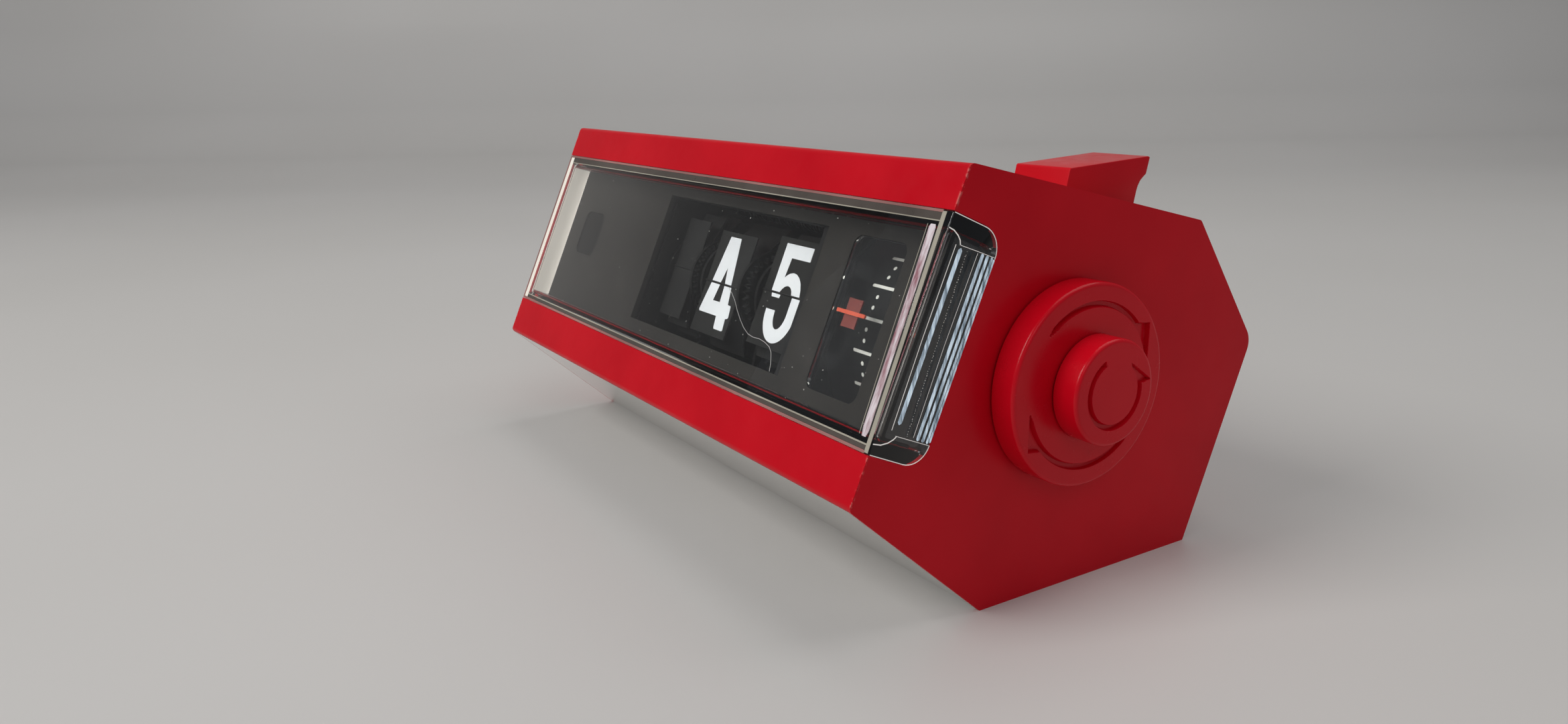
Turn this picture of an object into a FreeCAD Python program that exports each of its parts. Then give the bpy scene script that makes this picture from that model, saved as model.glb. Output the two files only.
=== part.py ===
"""Split-flap alarm clock: red hexagonal case, wrap-round clear window, three flap drums,
24-hour alarm drum, concentric knobs on the right end, alarm button on top.

Millimetres, +Z up, +X along the case to the knob end, +Y to the back.
Origin: centre of the flat base. Case outline is drawn in the YZ plane from the lower front
corner E of the base; 'front' coordinates (d, s) are depth behind the leaning front face and
height along it from its lower edge."""
import FreeCAD, Part
import Sketcher
import math
import os
from FreeCAD import Vector, Rotation, Placement

doc = FreeCAD.newDocument("FlapClock")
sheet = doc.addObject("Spreadsheet::Sheet", "Sizes")


class Dim:
    """A number together with the spreadsheet expression that gives it."""

    def __init__(self, value, text):
        self.value = float(value)
        self.text = text

    def __add__(self, o):
        o = dim(o)
        return Dim(self.value + o.value, "(%s + %s)" % (self.text, o.text))

    __radd__ = __add__

    def __sub__(self, o):
        o = dim(o)
        return Dim(self.value - o.value, "(%s - %s)" % (self.text, o.text))

    def __rsub__(self, o):
        return dim(o) - self

    def __mul__(self, o):
        o = dim(o)
        return Dim(self.value * o.value, "(%s * %s)" % (self.text, o.text))

    __rmul__ = __mul__

    def __truediv__(self, o):
        o = dim(o)
        return Dim(self.value / o.value, "(%s / %s)" % (self.text, o.text))

    def __neg__(self):
        return Dim(0, "0") - self


def dim(v):
    if isinstance(v, Dim):
        return v
    return Dim(v, ("%.6f" % v) if v >= 0 else ("(0 - %.6f)" % -v))


def dsin(a):
    return Dim(math.sin(math.radians(a.value)), "sin(%s)" % a.text)


def dcos(a):
    return Dim(math.cos(math.radians(a.value)), "cos(%s)" % a.text)


rows = [0]


def cell(alias, value):
    rows[0] += 1
    sheet.set("A%d" % rows[0], alias)
    sheet.set("B%d" % rows[0], repr(value))
    sheet.setAlias("B%d" % rows[0], alias)
    return Dim(value, "Sizes." + alias)


# ---- driving sizes -------------------------------------------------------------------
half_len = cell("half_len", 85.0)        # half the case length
front_lean = cell("front_lean", 24.2)    # front face leans back
top_fall = cell("top_fall", 13.9)        # top face falls to the back
back_fall = cell("back_fall", 54.8)
rear_rise = cell("rear_rise", 67.1)
low_rise = cell("low_rise", 42.0)
y_f = cell("y_foot_front", -30.2)        # corner F, lower edge of the front face
z_f = cell("z_foot_front", 27.2)
front_len = cell("front_len", 62.5)
y_b = cell("y_top_back", 56.3)
z_b = cell("z_top_back", 69.15)
y_c = cell("y_back_nose", 75.5)
z_c = cell("z_back_nose", 41.95)
y_d = cell("y_base_back", 57.9)
wall = cell("wall", 2.4)
plate_t = cell("plate_thickness", 1.0)
cover_t = cell("cover_thickness", 1.2)
lip = cell("end_lip", 1.0)
round_r = cell("edge_round", 1.2)
nose_r = cell("nose_round", 4.5)
lens_lo = cell("lens_low", 10.1)
lens_hi = cell("lens_high", 53.9)
lens_depth = cell("lens_depth", 12.6)
lens_front = cell("lens_front_wall", 2.5)
lens_end = cell("lens_end_wall", 3.0)
lens_r = cell("lens_corner", 5.0)
fascia_d = cell("fascia_depth", 8.6)
fascia_t = cell("fascia_thickness", 1.2)
win_x0 = cell("flap_window_left", -28.8)
win_x1 = cell("flap_window_right", 40.2)
win_s0 = cell("flap_window_low", 16.7)
win_s1 = cell("flap_window_high", 48.5)
slot_x0 = cell("alarm_slot_left", 50.0)
slot_x1 = cell("alarm_slot_right", 66.6)
slot_s0 = cell("alarm_slot_low", 16.7)
slot_s1 = cell("alarm_slot_high", 48.0)
ind_x0 = cell("indicator_left", -73.1)
ind_x1 = cell("indicator_right", -61.6)
ind_s0 = cell("indicator_low", 27.9)
ind_s1 = cell("indicator_high", 39.7)
m_d = cell("drum_axis_depth", 24.3)
m_s = cell("drum_axis_height", 33.2)
k_d = cell("knob_axis_depth", 40.0)
k_s = cell("knob_axis_height", 34.4)
o_d = cell("motor_axis_depth", 55.0)
big_r = cell("big_knob_radius", 19.4)
big_out = cell("big_knob_out", 6.0)
small_r = cell("small_knob_radius", 10.0)
small_out = cell("small_knob_out", 11.9)
alarm_r = cell("alarm_drum_radius", 25.2)
pivot_r = cell("leaf_pivot_radius", 9.0)
leaf_l = cell("leaf_length", 12.2)
leaf_t = cell("leaf_thickness", 0.35)
time_r = cell("time_shaft_radius", 2.0)
tube_r = cell("alarm_tube_radius", 3.2)
drum_shaft_r = cell("drum_shaft_radius", 1.5)
run_gap = cell("running_gap", 0.05)
mod_a = cell("gear_module_a", 0.5)
mod_b = cell("gear_module_b", 0.4)
btn_w = cell("button_width", 14.6)
btn_x = cell("button_right", 77.0)
btn_t0 = cell("button_front", 31.8)
btn_t1 = cell("button_stem_back", 51.4)

y_0 = y_d / 2.0                          # base centre, measured from corner E


def P(d, s):
    """Case coordinates (y, z) of the front coordinates (depth, height)."""
    d, s = dim(d), dim(s)
    y = y_f + s * dsin(front_lean) + d * dcos(front_lean) - y_0
    z = z_f + s * dcos(front_lean) - d * dsin(front_lean)
    return (y, z)


A = P(0, front_len)
B = (y_b - y_0, z_b)
C = (y_c - y_0, z_c)
D = (y_d - y_0, dim(0))
E = (dim(0) - y_0, dim(0))
F = (y_f - y_0, z_f)
inward = {
    "FA": (dcos(front_lean), -dsin(front_lean)),
    "AB": (-dsin(top_fall), -dcos(top_fall)),
    "BC": (-dsin(back_fall), -dcos(back_fall)),
    "CD": (-dsin(rear_rise), dcos(rear_rise)),
    "DE": (dim(0), dim(1)),
    "EF": (dsin(low_rise), dcos(low_rise)),
}


def inset(V, e1, e2, t1, t2=None):
    """Corner V moved inwards by t1 from edge e1 and t2 from edge e2."""
    t2 = t1 if t2 is None else t2
    t1, t2 = dim(t1), dim(t2)
    (a, b), (c, e) = inward[e1], inward[e2]
    det = a.value * e.value - b.value * c.value
    dy = (t1.value * e.value - t2.value * b.value) / det
    dz = (t2.value * a.value - t1.value * c.value) / det
    dett = (a * e - b * c).text
    return (V[0] + Dim(dy, "((%s) / (%s))" % ((t1 * e - t2 * b).text, dett)),
            V[1] + Dim(dz, "((%s) / (%s))" % ((t2 * a - t1 * c).text, dett)))


nodes = []


def place(obj, y=0, z=0, x=0, lean=True):
    """Puts an object at (x, y, z), turned with the front face when lean is true."""
    x, y, z = dim(x), dim(y), dim(z)
    rot = Rotation(Vector(1, 0, 0), -front_lean.value) if lean else Rotation()
    obj.Placement = Placement(Vector(x.value, y.value, z.value), rot)
    for axis, v in (("x", x), ("y", y), ("z", z)):
        if "Sizes" in v.text:
            obj.setExpression("Placement.Base." + axis, v.text)
    return obj


def body(label, at=None, lean=False):
    b = doc.addObject("PartDesign::Body", label)
    b.Label = label
    if at is not None:
        place(b, at[0], at[1], 0, lean)
    elif lean:
        place(b, F[0], F[1], 0, True)
    nodes.append(b)
    return b


count = [0]


def sketch(b, plane, offset, tilt=None, origin=None):
    count[0] += 1
    sk = b.newObject("Sketcher::SketchObject", "%s_sketch%d" % (b.Name, count[0]))
    face = [o for o in b.Origin.OriginFeatures if o.Role == plane][0]
    sk.AttachmentSupport = [(face, "")]
    sk.MapMode = "FlatFace"
    offset = dim(offset)
    if tilt is None:
        sk.AttachmentOffset = Placement(Vector(0, 0, offset.value), Rotation())
        if "Sizes" in offset.text:
            sk.setExpression("AttachmentOffset.Base.z", offset.text)
    else:
        o = [dim(v) for v in (origin or (0, 0, 0))]
        sk.AttachmentOffset = Placement(Vector(*[v.value for v in o]), tilt)
        for axis, v in zip("xyz", o):
            if "Sizes" in v.text:
                sk.setExpression("AttachmentOffset.Base." + axis, v.text)
    return sk


def bind(sk, c, value):
    i = sk.addConstraint(c)
    if "Sizes" in value.text:
        sk.setExpression("Constraints[%d]" % i, value.text)


def poly(sk, pts):
    pts = [(dim(u), dim(v)) for u, v in pts]
    n = len(pts)
    base = sk.GeometryCount
    for i in range(n):
        p, q = pts[i], pts[(i + 1) % n]
        sk.addGeometry(Part.LineSegment(Vector(p[0].value, p[1].value, 0), Vector(q[0].value, q[1].value, 0)), False)
    for i in range(n):
        sk.addConstraint(Sketcher.Constraint("Coincident", base + i, 2, base + (i + 1) % n, 1))
    for i in range(n):
        bind(sk, Sketcher.Constraint("DistanceX", -1, 1, base + i, 1, pts[i][0].value), pts[i][0])
        bind(sk, Sketcher.Constraint("DistanceY", -1, 1, base + i, 1, pts[i][1].value), pts[i][1])


def circle(sk, cx, cy, r):
    cx, cy, r = dim(cx), dim(cy), dim(r)
    g = sk.addGeometry(Part.Circle(Vector(cx.value, cy.value, 0), Vector(0, 0, 1), r.value), False)
    bind(sk, Sketcher.Constraint("Radius", g, r.value), r)
    if abs(cx.value) < 1e-9 and abs(cy.value) < 1e-9:
        sk.addConstraint(Sketcher.Constraint("Coincident", g, 3, -1, 1))
    else:
        bind(sk, Sketcher.Constraint("DistanceX", -1, 1, g, 3, cx.value), cx)
        bind(sk, Sketcher.Constraint("DistanceY", -1, 1, g, 3, cy.value), cy)


def rect(x0, x1, y0, y1):
    return [(x0, y0), (x1, y0), (x1, y1), (x0, y1)]


def loops(sk, shapes):
    for s in shapes:
        if isinstance(s, tuple) and s[0] == "o":
            circle(sk, *s[1:])
        else:
            poly(sk, s)


def pad(b, x0, length, shapes, plane="YZ_Plane", tilt=None, origin=None):
    sk = sketch(b, plane, x0, tilt, origin)
    loops(sk, shapes)
    f = b.newObject("PartDesign::Pad", "%s_pad%d" % (b.Name, count[0]))
    f.Profile = sk
    length = dim(length)
    f.Length = length.value
    if "Sizes" in length.text:
        f.setExpression("Length", length.text)
    sk.Visibility = False
    return f


def pocket(b, x1, length, shapes, plane="YZ_Plane", tilt=None, origin=None):
    sk = sketch(b, plane, x1, tilt, origin)
    loops(sk, shapes)
    f = b.newObject("PartDesign::Pocket", "%s_cut%d" % (b.Name, count[0]))
    f.Profile = sk
    length = dim(length)
    f.Length = length.value
    if "Sizes" in length.text:
        f.setExpression("Length", length.text)
    sk.Visibility = False
    cuts.append(f)
    return f


cuts = []


def fillet(b, radius, test):
    doc.recompute()
    last = b.Tip
    names = ["Edge%d" % (i + 1) for i, e in enumerate(last.Shape.Edges) if test(e)]
    if not names:
        raise RuntimeError("no edges to round on %s: %s" % (b.Label, [
            [round(v, 2) for v in e.CenterOfMass] for e in last.Shape.Edges]))
    f = b.newObject("PartDesign::Fillet", "%s_round%d" % (b.Name, len(b.Group)))
    f.Base = (last, names)
    radius = dim(radius)
    f.Radius = radius.value
    if "Sizes" in radius.text:
        f.setExpression("Radius", radius.text)
    b.Tip = f
    return f


def near(e, pts, tol=0.08):
    c = e.BoundBox
    if abs(c.XLength) < 1e-6:
        return False
    m = e.valueAt((e.FirstParameter + e.LastParameter) / 2)
    return c.YLength < 1e-3 and c.ZLength < 1e-3 and any(
        abs(m.y - p[0].value) < tol and abs(m.z - p[1].value) < tol for p in pts)


def teeth(b, x0, width, n, mod, phase, bore=None):
    """One gear: a root disc, one tooth, and the tooth repeated round the axis."""
    rp = mod * n / 2.0
    root = rp - mod * 1.1
    tip = rp + mod * 0.75
    first = b.Tip is None
    pad(b, x0, width, [("o", 0, 0, root)])
    sk = sketch(b, "YZ_Plane", x0, Rotation(Vector(0, 0, 1), phase), (0, 0, x0))
    w = mod * math.pi
    poly(sk, [(root - 0.25, w * -0.30), (rp - mod * 0.35, w * -0.215), (rp + mod * 0.1, w * -0.165), (tip, w * -0.085),
              (tip, w * 0.085), (rp + mod * 0.1, w * 0.165), (rp - mod * 0.35, w * 0.215), (root - 0.25, w * 0.30)])
    f = b.newObject("PartDesign::Pad", "%s_tooth%d" % (b.Name, count[0]))
    f.Profile = sk
    width = dim(width)
    f.Length = width.value
    doc.recompute()
    pat = b.newObject("PartDesign::PolarPattern", "%s_teeth%d" % (b.Name, count[0]))
    pat.Originals = [f]
    axis = [o for o in b.Origin.OriginFeatures if o.Role == "X_Axis"][0]
    pat.Axis = (axis, [""])
    pat.Angle = 360
    pat.Occurrences = n
    b.Tip = pat
    return pat


def ring_gap(e, r):
    return hasattr(e.Curve, "Radius") and abs(e.Curve.Radius - r) < 1e-3


# ---- case ------------------------------------------------------------------------------
L2 = half_len * 2.0
housing = body("housing", (0, 0))
pad(housing, -half_len, L2, [[A, B, C, D, E, F]])
fillet(housing, nose_r, lambda e: near(e, [C]))
fillet(housing, round_r, lambda e: near(e, [A, B, F]))
inner = [inset(A, "FA", "AB", wall), inset(B, "AB", "BC", wall), inset(C, "BC", "CD", wall),
         inset(D, "CD", "DE", wall), inset(E, "DE", "EF", wall), inset(F, "EF", "FA", wall)]
pocket(housing, half_len - wall, L2 - wall * 2.0, [inner])
reb = plate_t + 0.1
# opening and rebate for the polished plate, from just under F round E to D
f_lo = (F[0] + dcos(low_rise) * 0.7, F[1] - dsin(low_rise) * 0.7)


def along(p, e, t):
    """Point moved inwards from edge e by t."""
    return (p[0] + inward[e][0] * t, p[1] + inward[e][1] * t)


f_in = (F[0] + dcos(low_rise) * 5.0, F[1] - dsin(low_rise) * 5.0)
d_in = (D[0] - 5.0, D[1])
pocket(housing, half_len - lip, (half_len - lip) * 2.0,
       [[along(f_lo, "EF", -1), inset(E, "DE", "EF", -1), (D[0] + 0.5, D[1] - 1.0),
         (D[0] + 0.9, D[1] + reb), inset(E, "DE", "EF", reb), along(f_lo, "EF", reb)]])
pocket(housing, half_len - wall, (half_len - wall) * 2.0,
       [[along(f_in, "EF", 0.5), inset(E, "DE", "EF", 0.5), along(d_in, "DE", 0.5),
         along(d_in, "DE", 4.0), inset(E, "DE", "EF", 4.0), along(f_in, "EF", 4.0)]])
# rebate and opening for the rear cover
ru = (dcos(rear_rise), dsin(rear_rise))
c_lo = (C[0] - ru[0] * 6.0, C[1] - ru[1] * 6.0)
d_hi = (D[0], D[1])
rc = cover_t + 0.1
pocket(housing, half_len - lip, (half_len - lip) * 2.0,
       [[along(c_lo, "CD", -1), along(d_hi, "CD", -1), along(d_hi, "CD", rc), along(c_lo, "CD", rc)]])
c_in = (C[0] - ru[0] * 9.0, C[1] - ru[1] * 9.0)
d_up = (D[0] + ru[0] * 2.0, D[1] + ru[1] * 2.0)
pocket(housing, half_len - wall, (half_len - wall) * 2.0,
       [[along(c_in, "CD", 1.0), along(d_up, "CD", 1.0), along(d_up, "CD", 5.0), along(c_in, "CD", 5.0)]])
# cut-out for the clear window, right through both ends
gap = dim(0.1)
pocket(housing, half_len + 1.0, L2 + 2.0,
       [[P(-1, lens_lo - gap), P(lens_depth + gap, lens_lo - gap), P(lens_depth + gap, lens_hi + gap), P(-1, lens_hi + gap)]])
fillet(housing, lens_r, lambda e: near(e, [P(lens_depth + gap, lens_lo - gap), P(lens_depth + gap, lens_hi + gap)]))
# knob bush hole in the right end wall
K = P(k_d, k_s)
M = P(m_d, m_s)
pocket(housing, half_len + 1.0, wall + 2.0, [("o", K[0], K[1], 5.0)])
# lugs for the base and cover screws
for sx in (-1, 1):
    x0 = half_len - wall - 7.0 if sx > 0 else -half_len + wall - 0.1
    for y0 in (E[0] + 4.0, D[0] - 14.0):
        pad(housing, x0, 7.1, [rect(y0, y0 + 9.0, reb, 12.0)])
base_holes = [(sx * 78.6, y) for sx in (-1, 1) for y in (E[0] + 8.5, D[0] - 9.5)]
pocket(housing, 0, 9.0, [("o", x, y, 1.25) for x, y in base_holes], "XY_Plane",
       Rotation(Vector(1, 0, 0), 0), (0, 0, 10.0))
for sx in (-1, 1):
    x0 = half_len - wall - 7.0 if sx > 0 else -half_len + wall - 0.1
    u0, u1 = D[0] + ru[0] * 15.5, D[0] + ru[0] * 24.5
    v0, v1 = ru[1] * 15.5, ru[1] * 24.5
    pad(housing, x0, 7.1, [[along((u0, v0), "CD", rc), along((u1, v1), "CD", rc),
                            along((u1, v1), "CD", 9.0), along((u0, v0), "CD", 9.0)]])
rear_rot = Rotation(Vector(1, 0, 0), rear_rise.value)
cover_holes = [(-79.0, 20.0), (79.0, 20.0)]
deep = along(D, "CD", 7.0)
pocket(housing, 0, 7.0, [("o", x, y, 1.35) for x, y in cover_holes], "XY_Plane", rear_rot, (0, deep[0], deep[1]))
# button slot through the top face
top_rot = Rotation(Vector(1, 0, 0), -top_fall.value)
above = along(A, "AB", -1.0)
pocket(housing, 0, 7.0, [rect(btn_x - btn_w - 0.3, btn_x + 0.3, btn_t0 - 0.3, btn_t1 + 0.3)], "XY_Plane",
       top_rot, (0, above[0], above[1]))

lens = body("lens", None, True)
pad(lens, -half_len, L2, [rect(0, lens_depth, lens_lo, lens_hi)])
fillet(lens, lens_r, lambda e: near(e, [(lens_depth, lens_lo), (lens_depth, lens_hi)]))
pocket(lens, half_len - lens_end, (half_len - lens_end) * 2.0,
       [rect(lens_front, lens_depth + 1.0, lens_lo + 2.6, lens_hi - 2.6)])

base_plate = body("base_plate", (0, 0))
bx = half_len - lip - 0.1
fe = (F[0] + dcos(low_rise) * 0.8, F[1] - dsin(low_rise) * 0.8)
pad(base_plate, -bx, bx * 2.0,
    [[fe, E, D, (D[0] + 0.3, D[1] + plate_t), inset(E, "DE", "EF", plate_t), along(fe, "EF", plate_t)]])
pocket(base_plate, 0, 4.0, [("o", x, y, 1.6) for x, y in base_holes], "XY_Plane",
       Rotation(Vector(1, 0, 0), 0), (0, 0, 2.0))
# countersinks, so that the screw heads lie flush with the base
pocket(base_plate, 0, 2.0, [("o", x, y, 2.6) for x, y in base_holes], "XY_Plane",
       Rotation(), (0, 0, 0.6))

# rear cover, drawn in its own plane: x along the case, y up the rear face, z inwards
rear_len = Dim(math.hypot(C[0].value - D[0].value, C[1].value), "sqrt((%s) ^ 2 + (%s) ^ 2)" % ((C[0] - D[0]).text, C[1].text))
rear_cover = doc.addObject("PartDesign::Body", "rear_cover")
rear_cover.Label = "rear_cover"
nodes.append(rear_cover)
rear_cover.Placement = Placement(Vector(0, D[0].value, D[1].value), Rotation(Vector(1, 0, 0), rear_rise.value))
rear_cover.setExpression("Placement.Base.y", D[0].text)
pad(rear_cover, 0, cover_t, [rect(-bx, bx, 1.9, rear_len - 6.1)], "XY_Plane", Rotation(), (0, 0, 0))
cuts_v = [rect(-52.0 + 7.0 * i, -49.4 + 7.0 * i, 12.0, 30.0) for i in range(12)]
pocket(rear_cover, 0, 4.0, cuts_v, "XY_Plane", Rotation(), (0, 0, 2.5))
pocket(rear_cover, 0, 4.0, [("o", 62.0, 14.0, 4.0)], "XY_Plane", Rotation(), (0, 0, 2.5))
pocket(rear_cover, 0, 4.0, [("o", x, y, 1.6) for x, y in cover_holes], "XY_Plane", Rotation(), (0, 0, 2.5))

# ---- front panel -----------------------------------------------------------------------
fascia = body("fascia", None, True)
fx = half_len - lens_end - 0.4
pad(fascia, 0, fascia_t, [rect(-fx, fx, 13.1, 50.9)], "XZ_Plane", Rotation(), (0, 0, -(fascia_d + fascia_t)))
pocket(fascia, 0, fascia_t + 2.0,
       [rect(win_x0, win_x1, win_s0, win_s1), rect(slot_x0, slot_x1, slot_s0, slot_s1), rect(ind_x0, ind_x1, ind_s0, ind_s1)],
       "XZ_Plane", Rotation(), (0, 0, -(fascia_d - 1.0)))
fillet(fascia, 2.2, lambda e: e.BoundBox.YLength > 1.0 and e.BoundBox.XLength < 1e-4 and e.BoundBox.ZLength < 1e-4
       and (abs(e.CenterOfMass.x - slot_x0.value) < 1e-3 or abs(e.CenterOfMass.x - slot_x1.value) < 1e-3
            or abs(e.CenterOfMass.x - ind_x0.value) < 1e-3 or abs(e.CenterOfMass.x - ind_x1.value) < 1e-3))


def front_panel(label, x0, x1, s0, s1, d0, t, corner=None):
    b = body(label, None, True)
    d0, t = dim(d0), dim(t)
    pad(b, 0, t, [rect(x0, x1, s0, s1)], "XZ_Plane", Rotation(), (0, 0, -(d0 + t)))
    if corner:
        fillet(b, corner, lambda e: e.BoundBox.YLength > 0.1 and e.BoundBox.XLength < 1e-4 and e.BoundBox.ZLength < 1e-4)
    return b


front_panel("alarm_window", slot_x0 + 0.05, slot_x1 - 0.05, slot_s0 + 0.05, slot_s1 - 0.05, fascia_d + 0.2, 0.8, 2.15)
front_panel("indicator_window", ind_x0 + 0.05, ind_x1 - 0.05, ind_s0 + 0.05, ind_s1 - 0.05, fascia_d + 0.4, 0.8, 2.15)
pointer = body("alarm_pointer", None, True)
pad(pointer, 0, 0.7, [rect(51.0, 60.2, 32.55, 33.45)], "XZ_Plane", Rotation(), (0, 0, -(fascia_d + 1.7)))
pad(pointer, 0, 0.4, [rect(53.2, 57.7, 30.1, 35.9)], "XZ_Plane", Rotation(), (0, 0, -(fascia_d + 1.7)))

# ---- movement frame --------------------------------------------------------------------
plate_pts = [P(fascia_d + fascia_t + 0.05, 15.0), P(fascia_d + fascia_t + 0.05, 49.5), P(26, 54), P(72, 54),
             (D[0] - 2.0, dim(14.0)), (D[0] - 12.0, dim(2.6)), (E[0] + 8.0, dim(2.6)), (E[0] - 6.0, dim(9.0))]
pillars = [(15.5, 14.0), (30.0, 52.0), (79.0, 18.0), (46.0, 6.0)]
motor_at = (64.0, 36.0)
posts_at = [(78.0, 40.0), (58.0, 50.0)]


def plate(label, x0, t, holes):
    b = body(label, (0, 0))
    pad(b, x0, t, [plate_pts])
    pad(b, x0 if x0 > 0 else x0 - 6.0 + t, 6.0, [rect(E[0] + 8.0, D[0] - 12.0, plate_t, 2.7)])
    pocket(b, x0 + t + 7.0, t + 14.0, [("o",) + P(d, s) + (r,) for d, s, r in holes])
    return b


xl, xr, pt = -33.0, 37.0, 1.2
plate("movement_plate_left", xl, pt, [(m_d, m_s, drum_shaft_r + 0.02)] + [(d, s, 1.3) for d, s in pillars])
plate("movement_plate_right", xr, pt, [(m_d, m_s, drum_shaft_r + 0.02), (k_d, k_s, time_r + run_gap)]
      + [(d, s, 1.3) for d, s in pillars + posts_at])


def rods(label, items):
    """A group of separate round pieces along X, each (x0, x1, radius, y, z)."""
    parts = []
    for i, (x0, x1, r, p) in enumerate(items):
        c = doc.addObject("Part::Cylinder", "%s_%d" % (label, i))
        x0, x1, r = dim(x0), dim(x1), dim(r)
        c.Radius = r.value
        c.Height = (x1 - x0).value
        if "Sizes" in r.text:
            c.setExpression("Radius", r.text)
        c.Placement = Placement(Vector(x0.value, p[0].value, p[1].value), Rotation(Vector(0, 1, 0), 90))
        c.setExpression("Placement.Base.y", p[0].text)
        c.setExpression("Placement.Base.z", p[1].text)
        parts.append(c)
    return parts


def group(label, parts):
    g = doc.addObject("Part::Compound", label)
    g.Label = label
    g.Links = parts
    nodes.append(g)
    return g


# pillars: shouldered rods whose thin ends pass through the plates
pill = []
for i, (d, s) in enumerate(pillars):
    a, b_ = rods("pillar%d" % i, [(xl + pt + 0.02, xr - 0.02, 2.2, P(d, s)), (xl - 1.8, xr + pt + 1.8, 1.25, P(d, s))])
    f = doc.addObject("Part::Fuse", "pillar_%d" % i)
    f.Base, f.Tool = a, b_
    pill.append(f)
group("frame_pillars", pill)
nuts = []
for i, (d, s) in enumerate(pillars):
    for j, (x0, x1) in enumerate(((xl - 1.6, xl - 0.03), (xr + pt + 0.03, xr + pt + 1.6))):
        a, b_ = rods("nut%d_%d" % (i, j), [(x0, x1, 2.4, P(d, s)), (x0 - 1, x1 + 1, 1.27, P(d, s))])
        f = doc.addObject("Part::Cut", "nut_%d_%d" % (i, j))
        f.Base, f.Tool = a, b_
        nuts.append(f)
group("frame_nuts", nuts)

# ---- axes ------------------------------------------------------------------------------
(dk, sk_), (dm, sm) = (k_d.value, k_s.value), (m_d.value, m_s.value)
km = math.hypot(dk - dm, sk_ - sm)
ri = 11.0                                        # knob gear or drum gear to idler
ang = math.atan2(sm - sk_, dm - dk)
off = math.acos(km / 2.0 / ri)
idl = (dk + ri * math.cos(ang + off), sk_ + ri * math.sin(ang + off))     # below the line of centres
if idl[1] > sk_:
    idl = (dk + ri * math.cos(ang - off), sk_ + ri * math.sin(ang - off))
I = P(idl[0], idl[1])


def angle(a, b_):
    return math.degrees(math.atan2(b_[1] - a[1], b_[0] - a[0]))


def mate(phase_a, n_a, a, b_, n_b):
    """Tooth angle of gear b so that it is in mesh with gear a."""
    line = angle(a, b_)
    pitch = 360.0 / n_a
    eps = (phase_a - line + pitch / 2.0) % pitch - pitch / 2.0
    return line + 180.0 - eps * n_a / n_b + 180.0 / n_b


kc, mc, oc = (dk, sk_), (dm, sm), (o_d.value, k_s.value)
ph_k = angle(kc, idl)
ph_i = mate(ph_k, 20, kc, idl, 24)
ph_u = mate(ph_i, 24, idl, mc, 20)
ph_w = angle(kc, oc)
ph_o = mate(ph_w, 48, kc, oc, 12)
t_ang, h_ang = -62.0, -75.0
tc = (dm + 12.0 * math.cos(math.radians(t_ang)), sm + 12.0 * math.sin(math.radians(t_ang)))
hc = (dm + 12.0 * math.cos(math.radians(h_ang)), sm + 12.0 * math.sin(math.radians(h_ang)))
T = P(tc[0], tc[1])
H = P(hc[0], hc[1])
ph_uo = angle(mc, tc)
ph_tb = mate(ph_uo, 16, mc, tc, 32)
ph_ts = angle(tc, mc)
ph_td = mate(ph_ts, 12, tc, mc, 36)
ph_to = angle(mc, hc)
ph_hb = mate(ph_to, 15, mc, hc, 45)
ph_hs = angle(hc, mc)
ph_hd = mate(ph_hs, 12, hc, mc, 48)

group("drum_shaft", rods("drum_rod", [(xl - 0.8, xr + pt + 0.8, drum_shaft_r, M)]))
ts = body("time_shaft", K, True)
pad(ts, 33.6, half_len + small_out - 33.6 - 1.6, [("o", 0, 0, time_r)])

mw = body("minute_wheel", K, True)
teeth(mw, 34.15, 1.05, 48, mod_a, ph_w)
pad(mw, 35.15, 0.3, [("o", 0, 0, 3.2)])
teeth(mw, 35.4, 1.3, 20, mod_a, ph_k)
pocket(mw, 40, 10, [("o", 0, 0, time_r)])

ig = body("idler_gear", I, True)
teeth(ig, 35.4, 1.3, 24, mod_a, ph_i)
pocket(ig, 40, 10, [("o", 0, 0, 1.0 + 0.05)])
group("idler_stud", rods("idler_pin", [(35.3, xr, 1.0, I)]))

# ---- flap drums ------------------------------------------------------------------------


pin_r = cell("flap_pin_radius", 0.2)


def drum(label, x0, x1, shift, extra):
    b = body(label, M, True)
    pad(b, x0, 1.0, [("o", 0, 0, pivot_r + 1.2)])
    pad(b, x0 + 0.9, x1 - x0 - 1.8, [("o", 0, 0, 3.4)])
    pad(b, x1 - 1.0, 1.0, [("o", 0, 0, pivot_r + 1.2)])
    extra(b)
    pocket(b, x1 + 10.0, x1 - x0 + 20.0, [("o", 0, 0, drum_shaft_r + run_gap)])
    # holes for the standing flap's pins
    pocket(b, x1, x1 - x0, [("o", -pivot_r, shift, pin_r + run_gap)])
    return b


def units_extra(b):
    teeth(b, 10.9, 1.55, 16, mod_a, ph_uo)
    pad(b, 33.9, 1.55, [("o", 0, 0, 2.5)])
    teeth(b, 35.4, 1.3, 20, mod_a, ph_u)


def tens_extra(b):
    teeth(b, 5.55, 1.45, 36, mod_a, ph_td)
    teeth(b, -13.9, 1.35, 15, mod_b, ph_to)


def hour_extra(b):
    teeth(b, -16.85, 1.15, 48, mod_b, ph_hd)


drum("units_drum", 12.4, 34.0, 0.0, units_extra)
drum("tens_drum", -12.6, 5.6, -1.7, tens_extra)
drum("hour_drum", -29.4, -16.8, -0.6, hour_extra)

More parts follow.
